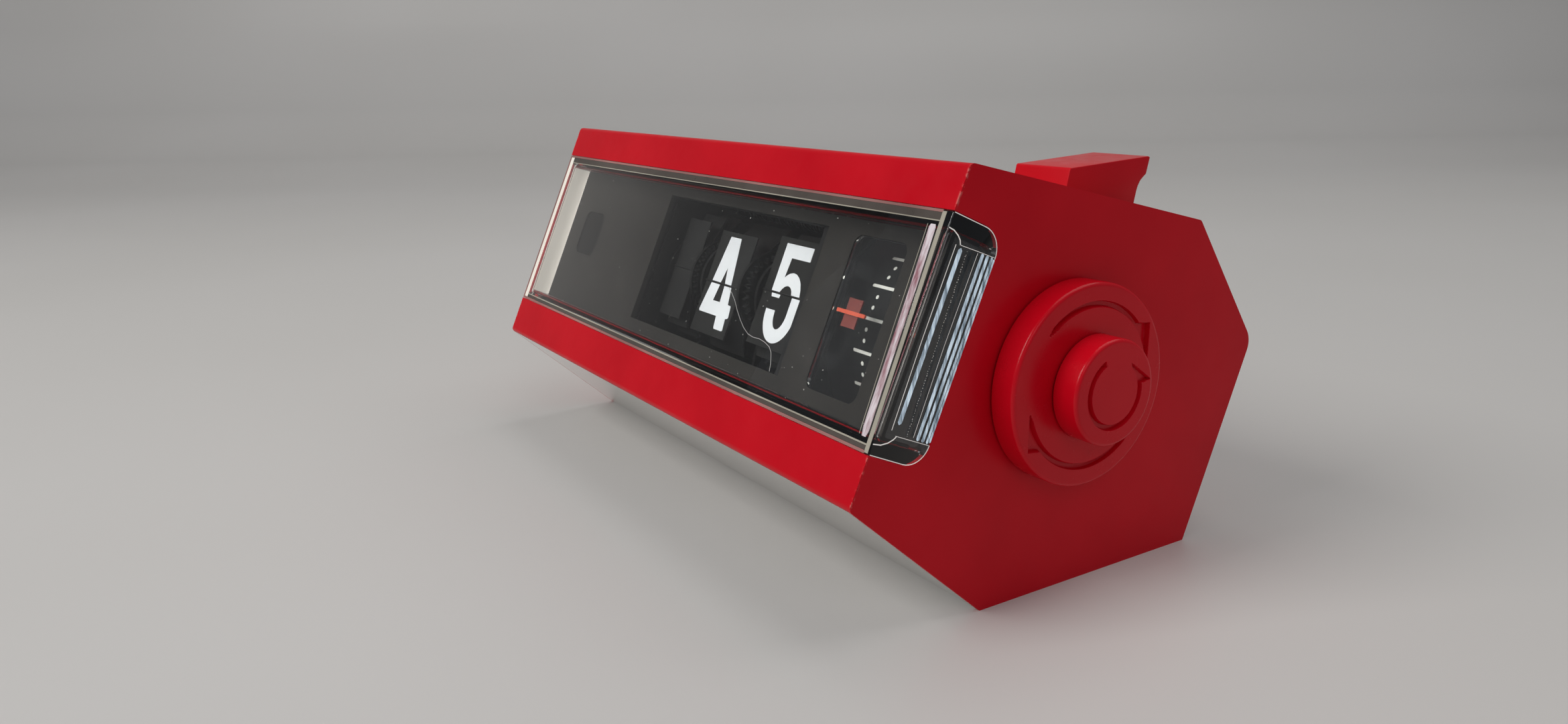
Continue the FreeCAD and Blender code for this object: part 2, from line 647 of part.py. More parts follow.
tg = body("tens_carry_gear", T, True)
teeth(tg, 10.95, 1.15, 32, mod_a, ph_tb)
teeth(tg, 5.75, 1.2, 12, mod_a, ph_ts)
pad(tg, 6.0, 6.0, [("o", 0, 0, 1.8)])
hg = body("hour_carry_gear", H, True)
teeth(hg, -13.85, 0.9, 45, mod_b, ph_hb)
teeth(hg, -16.6, 0.95, 12, mod_b, ph_hs)
pad(hg, -16.5, 3.2, [("o", 0, 0, 1.6)])


def bracket(label, x0, t, c, rr):
    b = body(label, (0, 0))
    pad(b, x0, t, [[P(m_d - 3.6, m_s + 3.6), P(m_d + 3.6, m_s + 3.6), P(42, 22), P(49.2, 6.0), P(45, 3.0), P(22, 14.5), P(m_d - 4.0, m_s - 6.0)]])
    pocket(b, x0 + t + 2.0, t + 4.0, [("o",) + M + (drum_shaft_r + 0.02,), ("o",) + c + (rr + run_gap,),
                                     ("o",) + P(46.0, 6.0) + (2.22,)])
    return b


bracket("tens_carry_bracket", 8.3, 1.0, T, 1.8)
bracket("hour_carry_bracket", -15.35, 1.0, H, 1.6)


def leaf_boxes(label, x0, x1, steps, first, shift):
    """Leaf pack: the hanging half leaf, two behind it, and the waiting leaves trailing round the drum."""
    group_parts = []
    r, l, t = pivot_r.value, leaf_l.value, leaf_t.value

    def leaf(px, pz, ang_, k):
        c = doc.addObject("Part::Box", "%s_%d" % (label, k))
        c.Length = x1 - x0
        c.Width = t
        c.Height = l - 0.3
        c.setExpression("Width", "Sizes.leaf_thickness")
        c.setExpression("Height", "Sizes.leaf_length - 0.3")
        base = Placement(Vector(0, M[0].value, M[1].value), Rotation(Vector(1, 0, 0), -front_lean.value))
        local = Placement(Vector(x0, px, pz), Rotation(Vector(1, 0, 0), ang_))
        c.Placement = base.multiply(local)
        group_parts.append(c)

    k = 0
    leaf(-r + t, shift - 0.25, 180.0, k)
    for q in range(1, 3):
        th = math.radians(180.0 + steps * q)
        k += 1
        leaf(r * math.cos(th) + t * 0.5, r * math.sin(th) + shift * 0.3, 180.0 + steps * q * 0.9, k)
    a = 180.0 - steps
    while a > -24.0:
        th = math.radians(a)
        k += 1
        leaf((r - 0.2) * math.cos(th), (r - 0.2) * math.sin(th), a - 180.0, k)
        a -= steps
    return group(label, group_parts)


def flap(label, x0, x1, shift):
    """Standing half leaf, drawn up from its own pivot on the split line."""
    b = body(label, P(m_d - pivot_r, m_s + shift), True)
    pad(b, x0, x1 - x0, [rect(0.0, leaf_t, 0.0, leaf_l)])
    pad(b, x0 - 0.8, x1 - x0 + 1.6, [("o", 0, 0, pin_r)])
    return b


for nm, xa, xb, st, sh in (("units", 13.6, 32.8, 18.0, 0.0), ("tens", -11.4, 4.4, 30.0, -1.7), ("hour", -28.2, -18.0, 15.0, -0.6)):
    leaf_boxes(nm + "_leaves", xa, xb, st, 0, sh)
    flap(nm + "_flap", xa, xb, sh)

# ---- alarm side ------------------------------------------------------------------------
ad = body("alarm_drum", K, True)
pad(ad, 41.6, 18.4, [("o", 0, 0, alarm_r)])
pocket(ad, 58.8, 18.4, [("o", 0, 0, alarm_r - 1.6)])
pad(ad, 45.0, 14.0, [("o", 0, 0, 5.6)])
pocket(ad, 61, 20, [("o", 0, 0, tube_r)])
ash = body("alarm_shaft", K, True)
pad(ash, 44.0, half_len + big_out - 44.0 - 0.3, [("o", 0, 0, tube_r)])
pocket(ash, half_len + 10, 60, [("o", 0, 0, time_r + run_gap)])
eb = body("end_bush", K, True)
pad(eb, half_len - wall - 1.6, 1.5, [("o", 0, 0, 7.5)])
pad(eb, half_len - wall - 0.2, wall + 0.2, [("o", 0, 0, 4.98)])
pocket(eb, half_len + 3, 10, [("o", 0, 0, tube_r + run_gap)])
bk = body("alarm_knob", K, True)
pad(bk, half_len + 0.4, big_out - 0.4, [("o", 0, 0, big_r)])
fillet(bk, 0.8, lambda e: ring_gap(e, big_r.value) and e.BoundBox.XMax > half_len.value + 5)
pocket(bk, half_len + big_out + 1, 10, [("o", 0, 0, tube_r)])
sk2 = body("time_knob", K, True)
pad(sk2, half_len + big_out + 0.3, small_out - big_out - 0.3, [("o", 0, 0, small_r)])
fillet(sk2, 0.7, lambda e: ring_gap(e, small_r.value) and e.BoundBox.XMax > half_len.value + 11)
pocket(sk2, half_len + small_out - 1.6, 10, [("o", 0, 0, time_r)])

# ---- motor -----------------------------------------------------------------------------
MO = P(motor_at[0], motor_at[1])
O = P(o_d, k_s)
mo = body("motor", MO, True)
pad(mo, 13.0, 16.0, [("o", 0, 0, 18.0)])
pad(mo, 28.9, 2.6, [("o", 0, 0, 20.0)])
pad(mo, 31.4, 1.2, [("o", o_d - motor_at[0], k_s - motor_at[1], 4.0)])
pocket(mo, 40.0, 9.0, [("o", o_d - motor_at[0], k_s - motor_at[1], 1.05)])
mp = body("motor_pinion", O, True)
teeth(mp, 34.1, 1.15, 12, mod_a, ph_o)
pad(mp, 31.3, 4.0, [("o", 0, 0, 1.0)])
group("motor_posts", rods("post", [(31.55, xr - 0.03, 2.4, P(d, s)) for d, s in posts_at]))

# ---- top button, in the plane of the top face: x, y down the slope, z outwards ----------
btn_at = (A[0], A[1])
btn = doc.addObject("PartDesign::Body", "alarm_button")
btn.Label = "alarm_button"
nodes.append(btn)
btn.Placement = Placement(Vector(0, A[0].value, A[1].value), Rotation(Vector(1, 0, 0), -top_fall.value))
btn.setExpression("Placement.Base.y", A[0].text)
btn.setExpression("Placement.Base.z", A[1].text)
bt0, bt1 = btn_t0, btn_t1
pad(btn, btn_x - btn_w, btn_w,
    [[(bt0, -9.0), (bt1, -9.0), (bt1, 3.4), (bt1 + 0.35, 5.0), (bt1 + 1.2, 6.4), (bt1 + 1.7, 7.2), (bt1 + 1.7, 10.6), (bt0, 4.3)]])
fillet(btn, 0.9, lambda e: e.BoundBox.XLength < 1e-3 and e.BoundBox.YLength < 2.0 and e.BoundBox.ZLength > 8.0)
fillet(btn, 0.5, lambda e: e.CenterOfMass.z > 3.0 and e.BoundBox.YLength > 15.0 and e.CenterOfMass.z > 6.0)
guide = doc.addObject("PartDesign::Body", "button_guide")
guide.Label = "button_guide"
nodes.append(guide)
guide.Placement = btn.Placement
guide.setExpression("Placement.Base.y", A[0].text)
guide.setExpression("Placement.Base.z", A[1].text)
pad(guide, btn_x - btn_w - 2.0, btn_w + 4.0, [rect(bt0 - 2.0, bt1 + 2.0, -12.0, -2.5)])
pocket(guide, 0, 20.0, [rect(btn_x - btn_w - 0.35, btn_x + 0.35, bt0 - 0.35, bt1 + 0.35)], "XY_Plane", Rotation(), (0, 0, 1))
sw = doc.addObject("PartDesign::Body", "alarm_switch")
sw.Label = "alarm_switch"
nodes.append(sw)
sw.Placement = btn.Placement
sw.setExpression("Placement.Base.y", A[0].text)
sw.setExpression("Placement.Base.z", A[1].text)
pad(sw, btn_x - btn_w + 2.0, btn_w - 4.0, [rect(bt0 + 3.0, bt1 - 3.0, -19.0, -13.6)])

# ---- small electrical pieces and fixings -----------------------------------------------
bz = body("buzzer", (0, 0))
pad(bz, -58.0, 16.0, [rect(E[0] + 12.0, E[0] + 34.0, plate_t, 12.0)])
pad(bz, -56.0, 12.0, [rect(E[0] + 16.0, E[0] + 30.0, 11.9, 16.0)])
lh = body("lamp_holder", None, True)
pad(lh, -58.0, 8.0, [rect(20.0, 26.0, 30.0, 38.0)])
lp = body("lamp", P(23.0, 34.0), True)
pad(lp, -49.95, 12.0, [("o", 0, 0, 2.2)])
fillet(lp, 2.0, lambda e: ring_gap(e, 2.2) and e.BoundBox.XMax > -39)
cord_b = doc.addObject("PartDesign::Body", "cord_bush")
cord_b.Label = "cord_bush"
nodes.append(cord_b)
cord_b.Placement = rear_cover.Placement
cord_b.setExpression("Placement.Base.y", D[0].text)
pad(cord_b, 0, 1.2, [("o", 62.0, 14.0, 5.2)], "XY_Plane", Rotation(), (0, 0, -1.22))
pad(cord_b, 0, 2.6, [("o", 62.0, 14.0, 3.97)], "XY_Plane", Rotation(), (0, 0, -0.1))
pocket(cord_b, 0, 8.0, [("o", 62.0, 14.0, 2.3)], "XY_Plane", Rotation(), (0, 0, 5.0))


def screws(label, spots, frame, head_z, shank):
    parts = []
    for i, (x, y) in enumerate(spots):
        hd = doc.addObject("Part::Cone", "%s_head%d" % (label, i))
        hd.Radius1, hd.Radius2, hd.Height = 2.4, 1.1, 0.8
        sh = doc.addObject("Part::Cylinder", "%s_shank%d" % (label, i))
        sh.Radius, sh.Height = 1.15, shank
        for o in (hd, sh):
            o.Placement = frame.multiply(Placement(Vector(x, y, head_z), Rotation()))
        f = doc.addObject("Part::Fuse", "%s_screw%d" % (label, i))
        f.Base, f.Tool = hd, sh
        parts.append(f)
    return group(label, parts)


screws("base_screws", [(x, y.value) for x, y in base_holes], Placement(), 0.03, 8.0)
rs = []
for i, (x, y) in enumerate(cover_holes):
    hd = doc.addObject("Part::Cylinder", "rear_head%d" % i)
    hd.Radius, hd.Height = 2.7, 1.0
    hd.Placement = rear_cover.Placement.multiply(Placement(Vector(x, y, -1.02), Rotation()))
    sh = doc.addObject("Part::Cylinder", "rear_shank%d" % i)
    sh.Radius, sh.Height = 1.3, 5.0
    sh.Placement = rear_cover.Placement.multiply(Placement(Vector(x, y, -0.5), Rotation()))
    f = doc.addObject("Part::Fuse", "rear_screw%d" % i)
    f.Base, f.Tool = hd, sh
    rs.append(f)
group("rear_screws", rs)

# ---- check and write -------------------------------------------------------------------
doc.recompute()
bad = [o.Name for o in doc.Objects if any(s in o.State for s in ("Invalid", "Error"))]
if bad:
    raise RuntimeError("failed objects: %s" % bad)
for f in cuts:
    if f.Shape.Volume >= f.BaseFeature.Shape.Volume - 1e-6:
        raise RuntimeError("cut removes nothing: %s" % f.Name)
os.makedirs("parts", exist_ok=True)
for o in nodes:
    s = o.Shape
    if s.isNull() or not s.isValid() or not s.Solids:
        raise RuntimeError("bad shape: %s" % o.Label)
    s.exportStep("parts/%s.step" % o.Label)
    bb = s.BoundBox
    print("%-22s solids %2d  x %.1f..%.1f  y %.1f..%.1f  z %.1f..%.1f  vol %.0f" % (
        o.Label, len(s.Solids), bb.XMin, bb.XMax, bb.YMin, bb.YMax, bb.ZMin, bb.ZMax, s.Volume))
print("nodes", len(nodes))
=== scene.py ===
import bpy, bmesh, math, random
import numpy as np
from mathutils import Vector, Matrix


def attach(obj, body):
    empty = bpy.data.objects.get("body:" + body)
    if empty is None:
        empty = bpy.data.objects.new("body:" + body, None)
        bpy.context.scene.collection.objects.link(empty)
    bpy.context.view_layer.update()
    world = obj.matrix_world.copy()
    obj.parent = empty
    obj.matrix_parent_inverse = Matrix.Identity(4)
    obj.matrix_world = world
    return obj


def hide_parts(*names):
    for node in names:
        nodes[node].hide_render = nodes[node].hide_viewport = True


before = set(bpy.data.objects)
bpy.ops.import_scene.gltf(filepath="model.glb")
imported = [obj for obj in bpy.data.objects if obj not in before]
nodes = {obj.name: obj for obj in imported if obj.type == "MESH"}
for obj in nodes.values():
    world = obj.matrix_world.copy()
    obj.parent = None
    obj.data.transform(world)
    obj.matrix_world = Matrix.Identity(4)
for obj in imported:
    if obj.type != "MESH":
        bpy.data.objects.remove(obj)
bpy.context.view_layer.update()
rng = random.Random(7)
scene = bpy.context.scene
scene.view_settings.view_transform = "Standard"
scene.view_settings.look = "None"

# ---- the case's own coordinates, in millimetres --------------------------------------
LEAN = math.radians(24.2)
ST, CT = math.sin(LEAN), math.cos(LEAN)
YF, ZF = -30.2 - 28.95, 27.2
TOP = math.radians(13.9)


def pt(x, d, s):
    """Point x along the case, d behind the leaning front face, s up it."""
    return Vector((x, YF + s * ST + d * CT, ZF + s * CT - d * ST)) / 1000.0


FRONT = Matrix.Translation(pt(0, 0, 0)) @ Matrix.Rotation(-LEAN, 4, "X") @ Matrix.Scale(0.001, 4)
KNOB = Matrix.Translation(pt(0, 40.0, 34.4)) @ Matrix.Scale(0.001, 4)
A_ = pt(0, 0, 62.5)
BUTTON = Matrix.Translation(A_) @ Matrix.Rotation(-TOP, 4, "X") @ Matrix.Scale(0.001, 4)
REAR = Matrix.Translation(Vector((0, 0.02895, 0))) @ Matrix.Rotation(math.radians(67.1), 4, "X") @ Matrix.Scale(0.001, 4)


# ---- materials -------------------------------------------------------------------------
def links(m):
    return m.node_tree.nodes, m.node_tree.links


def new_mat(name):
    m = bpy.data.materials.new(name)
    m.use_nodes = True
    n, l = links(m)
    b = n["Principled BSDF"]
    return m, n, l, b


def noise(n, l, coord, scale, detail=3.0, rough=0.5, stretch=None):
    t = n.new("ShaderNodeTexNoise")
    t.inputs["Scale"].default_value = scale
    t.inputs["Detail"].default_value = detail
    t.inputs["Roughness"].default_value = rough
    if stretch:
        mp = n.new("ShaderNodeMapping")
        mp.inputs["Scale"].default_value = stretch
        l.new(coord, mp.inputs["Vector"])
        l.new(mp.outputs["Vector"], t.inputs["Vector"])
    else:
        l.new(coord, t.inputs["Vector"])
    return t.outputs["Fac"]


def remap(n, l, src, a, b, c, d):
    r = n.new("ShaderNodeMapRange")
    r.inputs["From Min"].default_value = a
    r.inputs["From Max"].default_value = b
    r.inputs["To Min"].default_value = c
    r.inputs["To Max"].default_value = d
    l.new(src, r.inputs["Value"])
    return r.outputs["Result"]


def mixcol(n, l, fac, a, b):
    x = n.new("ShaderNodeMix")
    x.data_type = "RGBA"
    for i, v in ((6, a), (7, b)):
        if isinstance(v, tuple):
            x.inputs[i].default_value = (*v, 1)
        else:
            l.new(v, x.inputs[i])
    l.new(fac, x.inputs[0])
    return x.outputs[2]


def plastic(name, base, rough=0.35, vary=0.06, shade=0.10, grain=1800.0, bump=0.02, spec=0.5, metallic=0.0, coat=0.0, stretch=None, scratch=True):
    """Moulded surface: slow shade variation, fine grain in the bump, broken-up gloss, faint scratches."""
    m, n, l, b = new_mat(name)
    co = n.new("ShaderNodeTexCoord").outputs["Object"]
    slow = noise(n, l, co, 35.0, 3.0)
    dark = tuple(c * (1 - shade) for c in base)
    lite = tuple(min(1.0, c * (1 + shade) + 0.002) for c in base)
    col = mixcol(n, l, remap(n, l, slow, 0.35, 0.65, 0, 1), dark, lite)
    l.new(col, b.inputs["Base Color"])
    mid = noise(n, l, co, 260.0, 4.0, 0.6, stretch)
    l.new(remap(n, l, mid, 0.3, 0.7, rough - vary, rough + vary), b.inputs["Roughness"])
    b.inputs["Metallic"].default_value = metallic
    b.inputs["Specular IOR Level"].default_value = spec
    b.inputs["Coat Weight"].default_value = coat
    fine = noise(n, l, co, grain, 2.0, 0.5, stretch)
    bp = n.new("ShaderNodeBump")
    bp.inputs["Strength"].default_value = bump * 10
    bp.inputs["Distance"].default_value = 0.00002
    l.new(fine, bp.inputs["Height"])
    out = bp.outputs["Normal"]
    if scratch:
        sc = noise(n, l, co, 120.0, 1.0, 0.4, (1.0, 14.0, 14.0))
        line = remap(n, l, sc, 0.495, 0.505, 0, 1)
        b2 = n.new("ShaderNodeBump")
        b2.inputs["Strength"].default_value = 0.04
        b2.inputs["Distance"].default_value = 0.00002
        l.new(line, b2.inputs["Height"])
        l.new(out, b2.inputs["Normal"])
        out = b2.outputs["Normal"]
    l.new(out, b.inputs["Normal"])
    return m


def front_axes(n, l):
    """Sockets giving x, depth d and height s in millimetres."""
    co = n.new("ShaderNodeTexCoord").outputs["Object"]
    mp = n.new("ShaderNodeMapping")
    mp.vector_type = "TEXTURE"
    mp.inputs["Location"].default_value = pt(0, 0, 0)
    mp.inputs["Rotation"].default_value = (-LEAN, 0, 0)
    mp.inputs["Scale"].default_value = (0.001, 0.001, 0.001)
    l.new(co, mp.inputs["Vector"])
    sp = n.new("ShaderNodeSeparateXYZ")
    l.new(mp.outputs["Vector"], sp.inputs[0])
    return co, sp.outputs[0], sp.outputs[1], sp.outputs[2]


def math_node(n, l, op, a, b=None):
    x = n.new("ShaderNodeMath")
    x.operation = op
    for i, v in enumerate((a, b)):
        if v is None:
            continue
        if isinstance(v, (int, float)):
            x.inputs[i].default_value = v
        else:
            l.new(v, x.inputs[i])
    return x.outputs[0]


RED = (0.58, 0.0012, 0.0105)


def case_red(name, base=RED, rough=0.34, wear_and_highlight=True):
    m = plastic(name, base, rough, 0.05, 0.06, 1500.0, 0.03, 0.20 if not wear_and_highlight else 0.14)
    n, l = links(m)
    b = n["Principled BSDF"]
    if wear_and_highlight:
        co, x, d, s = front_axes(n, l)
        # rubbed, chipped edge where the front strips meet the ends, lightened also as a painted edge highlight
        ex = math_node(n, l, "ABSOLUTE", math_node(n, l, "SUBTRACT", math_node(n, l, "ABSOLUTE", x), 85.0))
        near_x = remap(n, l, ex, 0.05, 0.45, 1, 0)
        near_d = remap(n, l, math_node(n, l, "ABSOLUTE", d), 0.05, 0.5, 1, 0)
        chip = remap(n, l, noise(n, l, co, 900.0, 4.0, 0.7), 0.50, 0.60, 0, 1)
        mask = math_node(n, l, "MULTIPLY", math_node(n, l, "MULTIPLY", near_x, near_d), chip)
        old = b.inputs["Base Color"].links[0].from_socket
        l.new(mixcol(n, l, mask, old, (0.72, 0.16, 0.15)), b.inputs["Base Color"])
    return m


def clear(name, tint=(0.985, 0.99, 0.985), rough=0.0, ior=1.49, smudge=0.012):
    m, n, l, b = new_mat(name)
    co = n.new("ShaderNodeTexCoord").outputs["Object"]
    b.inputs["Base Color"].default_value = (*tint, 1)
    b.inputs["Transmission Weight"].default_value = 1.0
    b.inputs["IOR"].default_value = ior
    b.inputs["Specular IOR Level"].default_value = 0.18
    haze = noise(n, l, co, 90.0, 5.0, 0.65)
    l.new(remap(n, l, haze, 0.45, 0.75, rough, rough + smudge), b.inputs["Roughness"])
    out = n["Material Output"]
    tr = n.new("ShaderNodeBsdfTransparent")
    tr.inputs["Color"].default_value = (0.93, 0.94, 0.94, 1)
    lp = n.new("ShaderNodeLightPath")
    mx = n.new("ShaderNodeMixShader")
    l.new(lp.outputs["Is Shadow Ray"], mx.inputs[0])
    l.new(b.outputs[0], mx.inputs[1])
    l.new(tr.outputs[0], mx.inputs[2])
    l.new(mx.outputs[0], out.inputs["Surface"])
    return m


M = {}
M["case"] = case_red("case_red")
M["knob"] = case_red("knob_red", RED, 0.24, False)
M["button"] = case_red("button_red", RED, 0.33, False)
M["cover"] = plastic("cover_red", (0.42, 0.003, 0.010), 0.5, 0.05, 0.06, 900.0, 0.06)
M["metal"] = plastic("polished_metal", (0.80, 0.79, 0.77), 0.13, 0.05, 0.03, 700.0, 0.008, metallic=1.0, stretch=(1.0, 20.0, 20.0))
M["clear"] = clear("clear_acrylic")
M["smoked"] = plastic("smoked_insert", (0.005, 0.005, 0.005), 0.35, 0.04, 0.2, 1200.0, 0.01, 0.06)
M["charcoal"] = plastic("panel_charcoal", (0.024, 0.022, 0.0195), 0.60, 0.06, 0.12, 2600.0, 0.03, 0.08)
M["flap"] = plastic("flap_black", (0.014, 0.014, 0.0135), 0.5, 0.05, 0.15, 2200.0, 0.02, 0.12)
M["drum"] = plastic("drum_black", (0.008, 0.008, 0.008), 0.35, 0.05, 0.2, 1500.0, 0.02, 0.25)
M["figure"] = plastic("figure_white", (0.80, 0.83, 0.86), 0.42, 0.05, 0.02, 2500.0, 0.01, scratch=False)
M["tick"] = plastic("mark_white", (0.80, 0.79, 0.74), 0.45, 0.05, 0.04, 2500.0, 0.01, scratch=False)
M["nylon"] = plastic("nylon_natural", (0.62, 0.60, 0.54), 0.42, 0.05, 0.06, 900.0, 0.02)
M["nylon_black"] = plastic("nylon_black", (0.005, 0.005, 0.005), 0.6, 0.05, 0.1, 900.0, 0.02, 0.08)
M["sheet"] = plastic("plated_sheet", (0.52, 0.52, 0.50), 0.34, 0.08, 0.08, 600.0, 0.02, metallic=1.0)
M["sheet_black"] = plastic("blackened_sheet", (0.010, 0.010, 0.0105), 0.55, 0.06, 0.15, 700.0, 0.02, 0.12)
M["rod"] = plastic("turned_steel", (0.56, 0.56, 0.56), 0.25, 0.05, 0.05, 1400.0, 0.02, metallic=1.0, stretch=(30.0, 1.0, 1.0))
M["brass"] = plastic("cut_brass", (0.72, 0.50, 0.20), 0.28, 0.05, 0.08, 1400.0, 0.02, metallic=1.0)
M["can"] = plastic("plated_can", (0.55, 0.54, 0.50), 0.32, 0.06, 0.06, 500.0, 0.015, metallic=1.0)
M["black"] = plastic("moulded_black", (0.007, 0.007, 0.0075), 0.5, 0.06, 0.1, 1200.0, 0.04, 0.15)
M["bulb"] = clear("lamp_glass", (0.98, 0.95, 0.88), 0.02, 1.45)
M["screw"] = plastic("screw_steel", (0.60, 0.59, 0.57), 0.30, 0.06, 0.06, 1200.0, 0.02, metallic=1.0)
# painted reflection: bluish streaks that glow, for light caught in the thick clear edges of the window
m, n, l, b = new_mat("painted_edge_reflection")
co_ = n.new("ShaderNodeTexCoord").outputs["Object"]
streak = noise(n, l, co_, 1300.0, 3.0, 0.6, (1.0, 0.9, 0.12))
l.new(mixcol(n, l, remap(n, l, streak, 0.40, 0.62, 0, 1), (0.70, 0.82, 0.92), (0.20, 0.27, 0.33)), b.inputs["Base Color"])
l.new(mixcol(n, l, remap(n, l, streak, 0.40, 0.62, 0, 1), (0.30, 0.37, 0.43), (0.05, 0.07, 0.09)), b.inputs["Emission Color"])
b.inputs["Emission Strength"].default_value = 0.8
b.inputs["Roughness"].default_value = 0.25
M["painted_blue_edge"] = m
# painted highlight: pale beige for the lit edges of the clear tray
M["painted_edge_highlight_beige"] = plastic("painted_edge_highlight_beige", (0.42, 0.39, 0.32), 0.35, 0.08, 0.2, 700.0, 0.05)
# painted shade: dark brown for the shaded walls at the top and bottom of the clear tray
M["painted_edge_shade_brown"] = plastic("painted_edge_shade_brown", (0.085, 0.070, 0.060), 0.35, 0.08, 0.2, 700.0, 0.05)
# painted reflection: pink, for the red case seen in the clear tray's edges
M["painted_edge_reflection_pink"] = plastic("painted_edge_reflection_pink", (0.36, 0.17, 0.155), 0.35, 0.08, 0.25, 700.0, 0.05)
# painted glow: a pale emission standing in for light caught at the far inner end of the window
M["painted_glow_left"] = plastic("painted_return_glow", (0.60, 0.56, 0.50), 0.45, 0.08, 0.05, 400.0, 0.02, scratch=False)
M["painted_glow_left"].node_tree.nodes["Principled BSDF"].inputs["Emission Color"].default_value = (0.50, 0.47, 0.42, 1)
M["painted_glow_left"].node_tree.nodes["Principled BSDF"].inputs["Emission Strength"].default_value = 0.75
# painted highlight: pale lines that glow, for light caught on the clear window's rounded edges
M["edge_line"] = plastic("painted_edge_highlight", (0.62, 0.60, 0.58), 0.35, 0.08, 0.25, 700.0, 0.05)
M["edge_line"].node_tree.nodes["Principled BSDF"].inputs["Emission Color"].default_value = (0.40, 0.38, 0.36, 1)
M["edge_line"].node_tree.nodes["Principled BSDF"].inputs["Emission Strength"].default_value = 0.7
# painted highlight: pinkish-white streaks for the light the clear corner catches and bends from the red case
m, n, l, b = new_mat("painted_corner_highlight")
co_ = n.new("ShaderNodeTexCoord").outputs["Object"]
streak = noise(n, l, co_, 900.0, 4.0, 0.6, (1.0, 0.16, 0.16))
l.new(mixcol(n, l, remap(n, l, streak, 0.40, 0.62, 0, 1), (0.82, 0.74, 0.78), (0.34, 0.15, 0.18)), b.inputs["Base Color"])
b.inputs["Roughness"].default_value = 0.3
M["painted_corner_highlight"] = m
M["hair"] = plastic("hair_pale", (0.55, 0.54, 0.52), 0.6, 0.05, 0.1, 2500.0, 0.02, scratch=False)
M["lint"] = plastic("lint_grey", (0.70, 0.68, 0.64), 0.8, 0.05, 0.1, 2500.0, 0.02, scratch=False)

look = {
    "housing": "case", "base_plate": "metal", "fascia": "charcoal", "alarm_window": "clear", "indicator_window": "smoked",
    "movement_plate_left": "sheet_black", "movement_plate_right": "sheet_black", "frame_pillars": "rod", "frame_nuts": "screw",
    "drum_shaft": "rod", "time_shaft": "rod", "minute_wheel": "brass", "idler_gear": "nylon", "idler_stud": "rod",
    "units_drum": "nylon_black", "tens_drum": "nylon_black", "hour_drum": "nylon_black", "tens_carry_gear": "nylon_black",
    "hour_carry_gear": "nylon_black", "tens_carry_bracket": "nylon_black", "hour_carry_bracket": "nylon_black",
    "units_leaves": "flap", "tens_leaves": "flap", "hour_leaves": "flap", "units_flap": "flap", "tens_flap": "flap",
    "hour_flap": "flap", "alarm_drum": "drum", "alarm_shaft": "black", "end_bush": "black", "motor": "can",
    "motor_pinion": "brass", "motor_posts": "brass", "button_guide": "black", "alarm_switch": "black", "buzzer": "black",
    "lamp_holder": "nylon", "lamp": "bulb", "rear_cover": "cover", "cord_bush": "black", "base_screws": "screw",
    "rear_screws": "screw",
}
for name, key in look.items():
    me = nodes[name].data
    me.materials.clear()
    me.materials.append(M[key])


# ---- piece helpers ------------------------------------------------------------------
def piece(name, verts, faces, matrix, mat, body="case", smooth=35.0, bevel=None, replaces=()):
    me = bpy.data.meshes.new(name)
    me.from_pydata([tuple(v) for v in verts], [], faces)
    bm = bmesh.new()
    bm.from_mesh(me)
    bmesh.ops.remove_doubles(bm, verts=bm.verts, dist=1e-5)
    bmesh.ops.recalc_face_normals(bm, faces=bm.faces)
    if bevel:
        edges = [e for e in bm.edges if len(e.link_faces) == 2 and e.calc_face_angle(0) > math.radians(25)]
        bmesh.ops.bevel(bm, geom=edges, offset=bevel, segments=3, profile=0.6, affect="EDGES", clamp_overlap=True)
    bm.to_mesh(me)
    bm.free()
    me.transform(matrix)
    me.materials.append(M[mat] if isinstance(mat, str) else mat)
    me.polygons.foreach_set("use_smooth", [True] * len(me.polygons))
    me.set_sharp_from_angle(angle=math.radians(smooth))
    o = bpy.data.objects.new(name, me)
    scene.collection.objects.link(o)
    if replaces:
        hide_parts(*replaces)
    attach(o, body)
    return o


def slab(outline, t0, t1, axis="d"):
    """Closed prism of an outline. axis d: outline is (x, s), thickness in d. axis x: outline is (d, s), thickness in x."""
    n = len(outline)
    if axis == "d":
        v = [(a, t0, b) for a, b in outline] + [(a, t1, b) for a, b in outline]
    else:
        v = [(t0, a, b) for a, b in outline] + [(t1, a, b) for a, b in outline]
    f = [tuple(range(n)), tuple(range(2 * n - 1, n - 1, -1))]
    f += [(i, (i + 1) % n, n + (i + 1) % n, n + i) for i in range(n)]
    return v, f


def join(parts):
    V, Fc = [], []
    for v, f in parts:
        k = len(V)
        V += v
        Fc += [tuple(i + k for i in g) for g in f]
    return V, Fc


def arc(cx, cy, rx, ry, a0, a1, n):
    return [(cx + rx * math.cos(math.radians(a0 + (a1 - a0) * i / n)), cy + ry * math.sin(math.radians(a0 + (a1 - a0) * i / n))) for i in range(n + 1)]


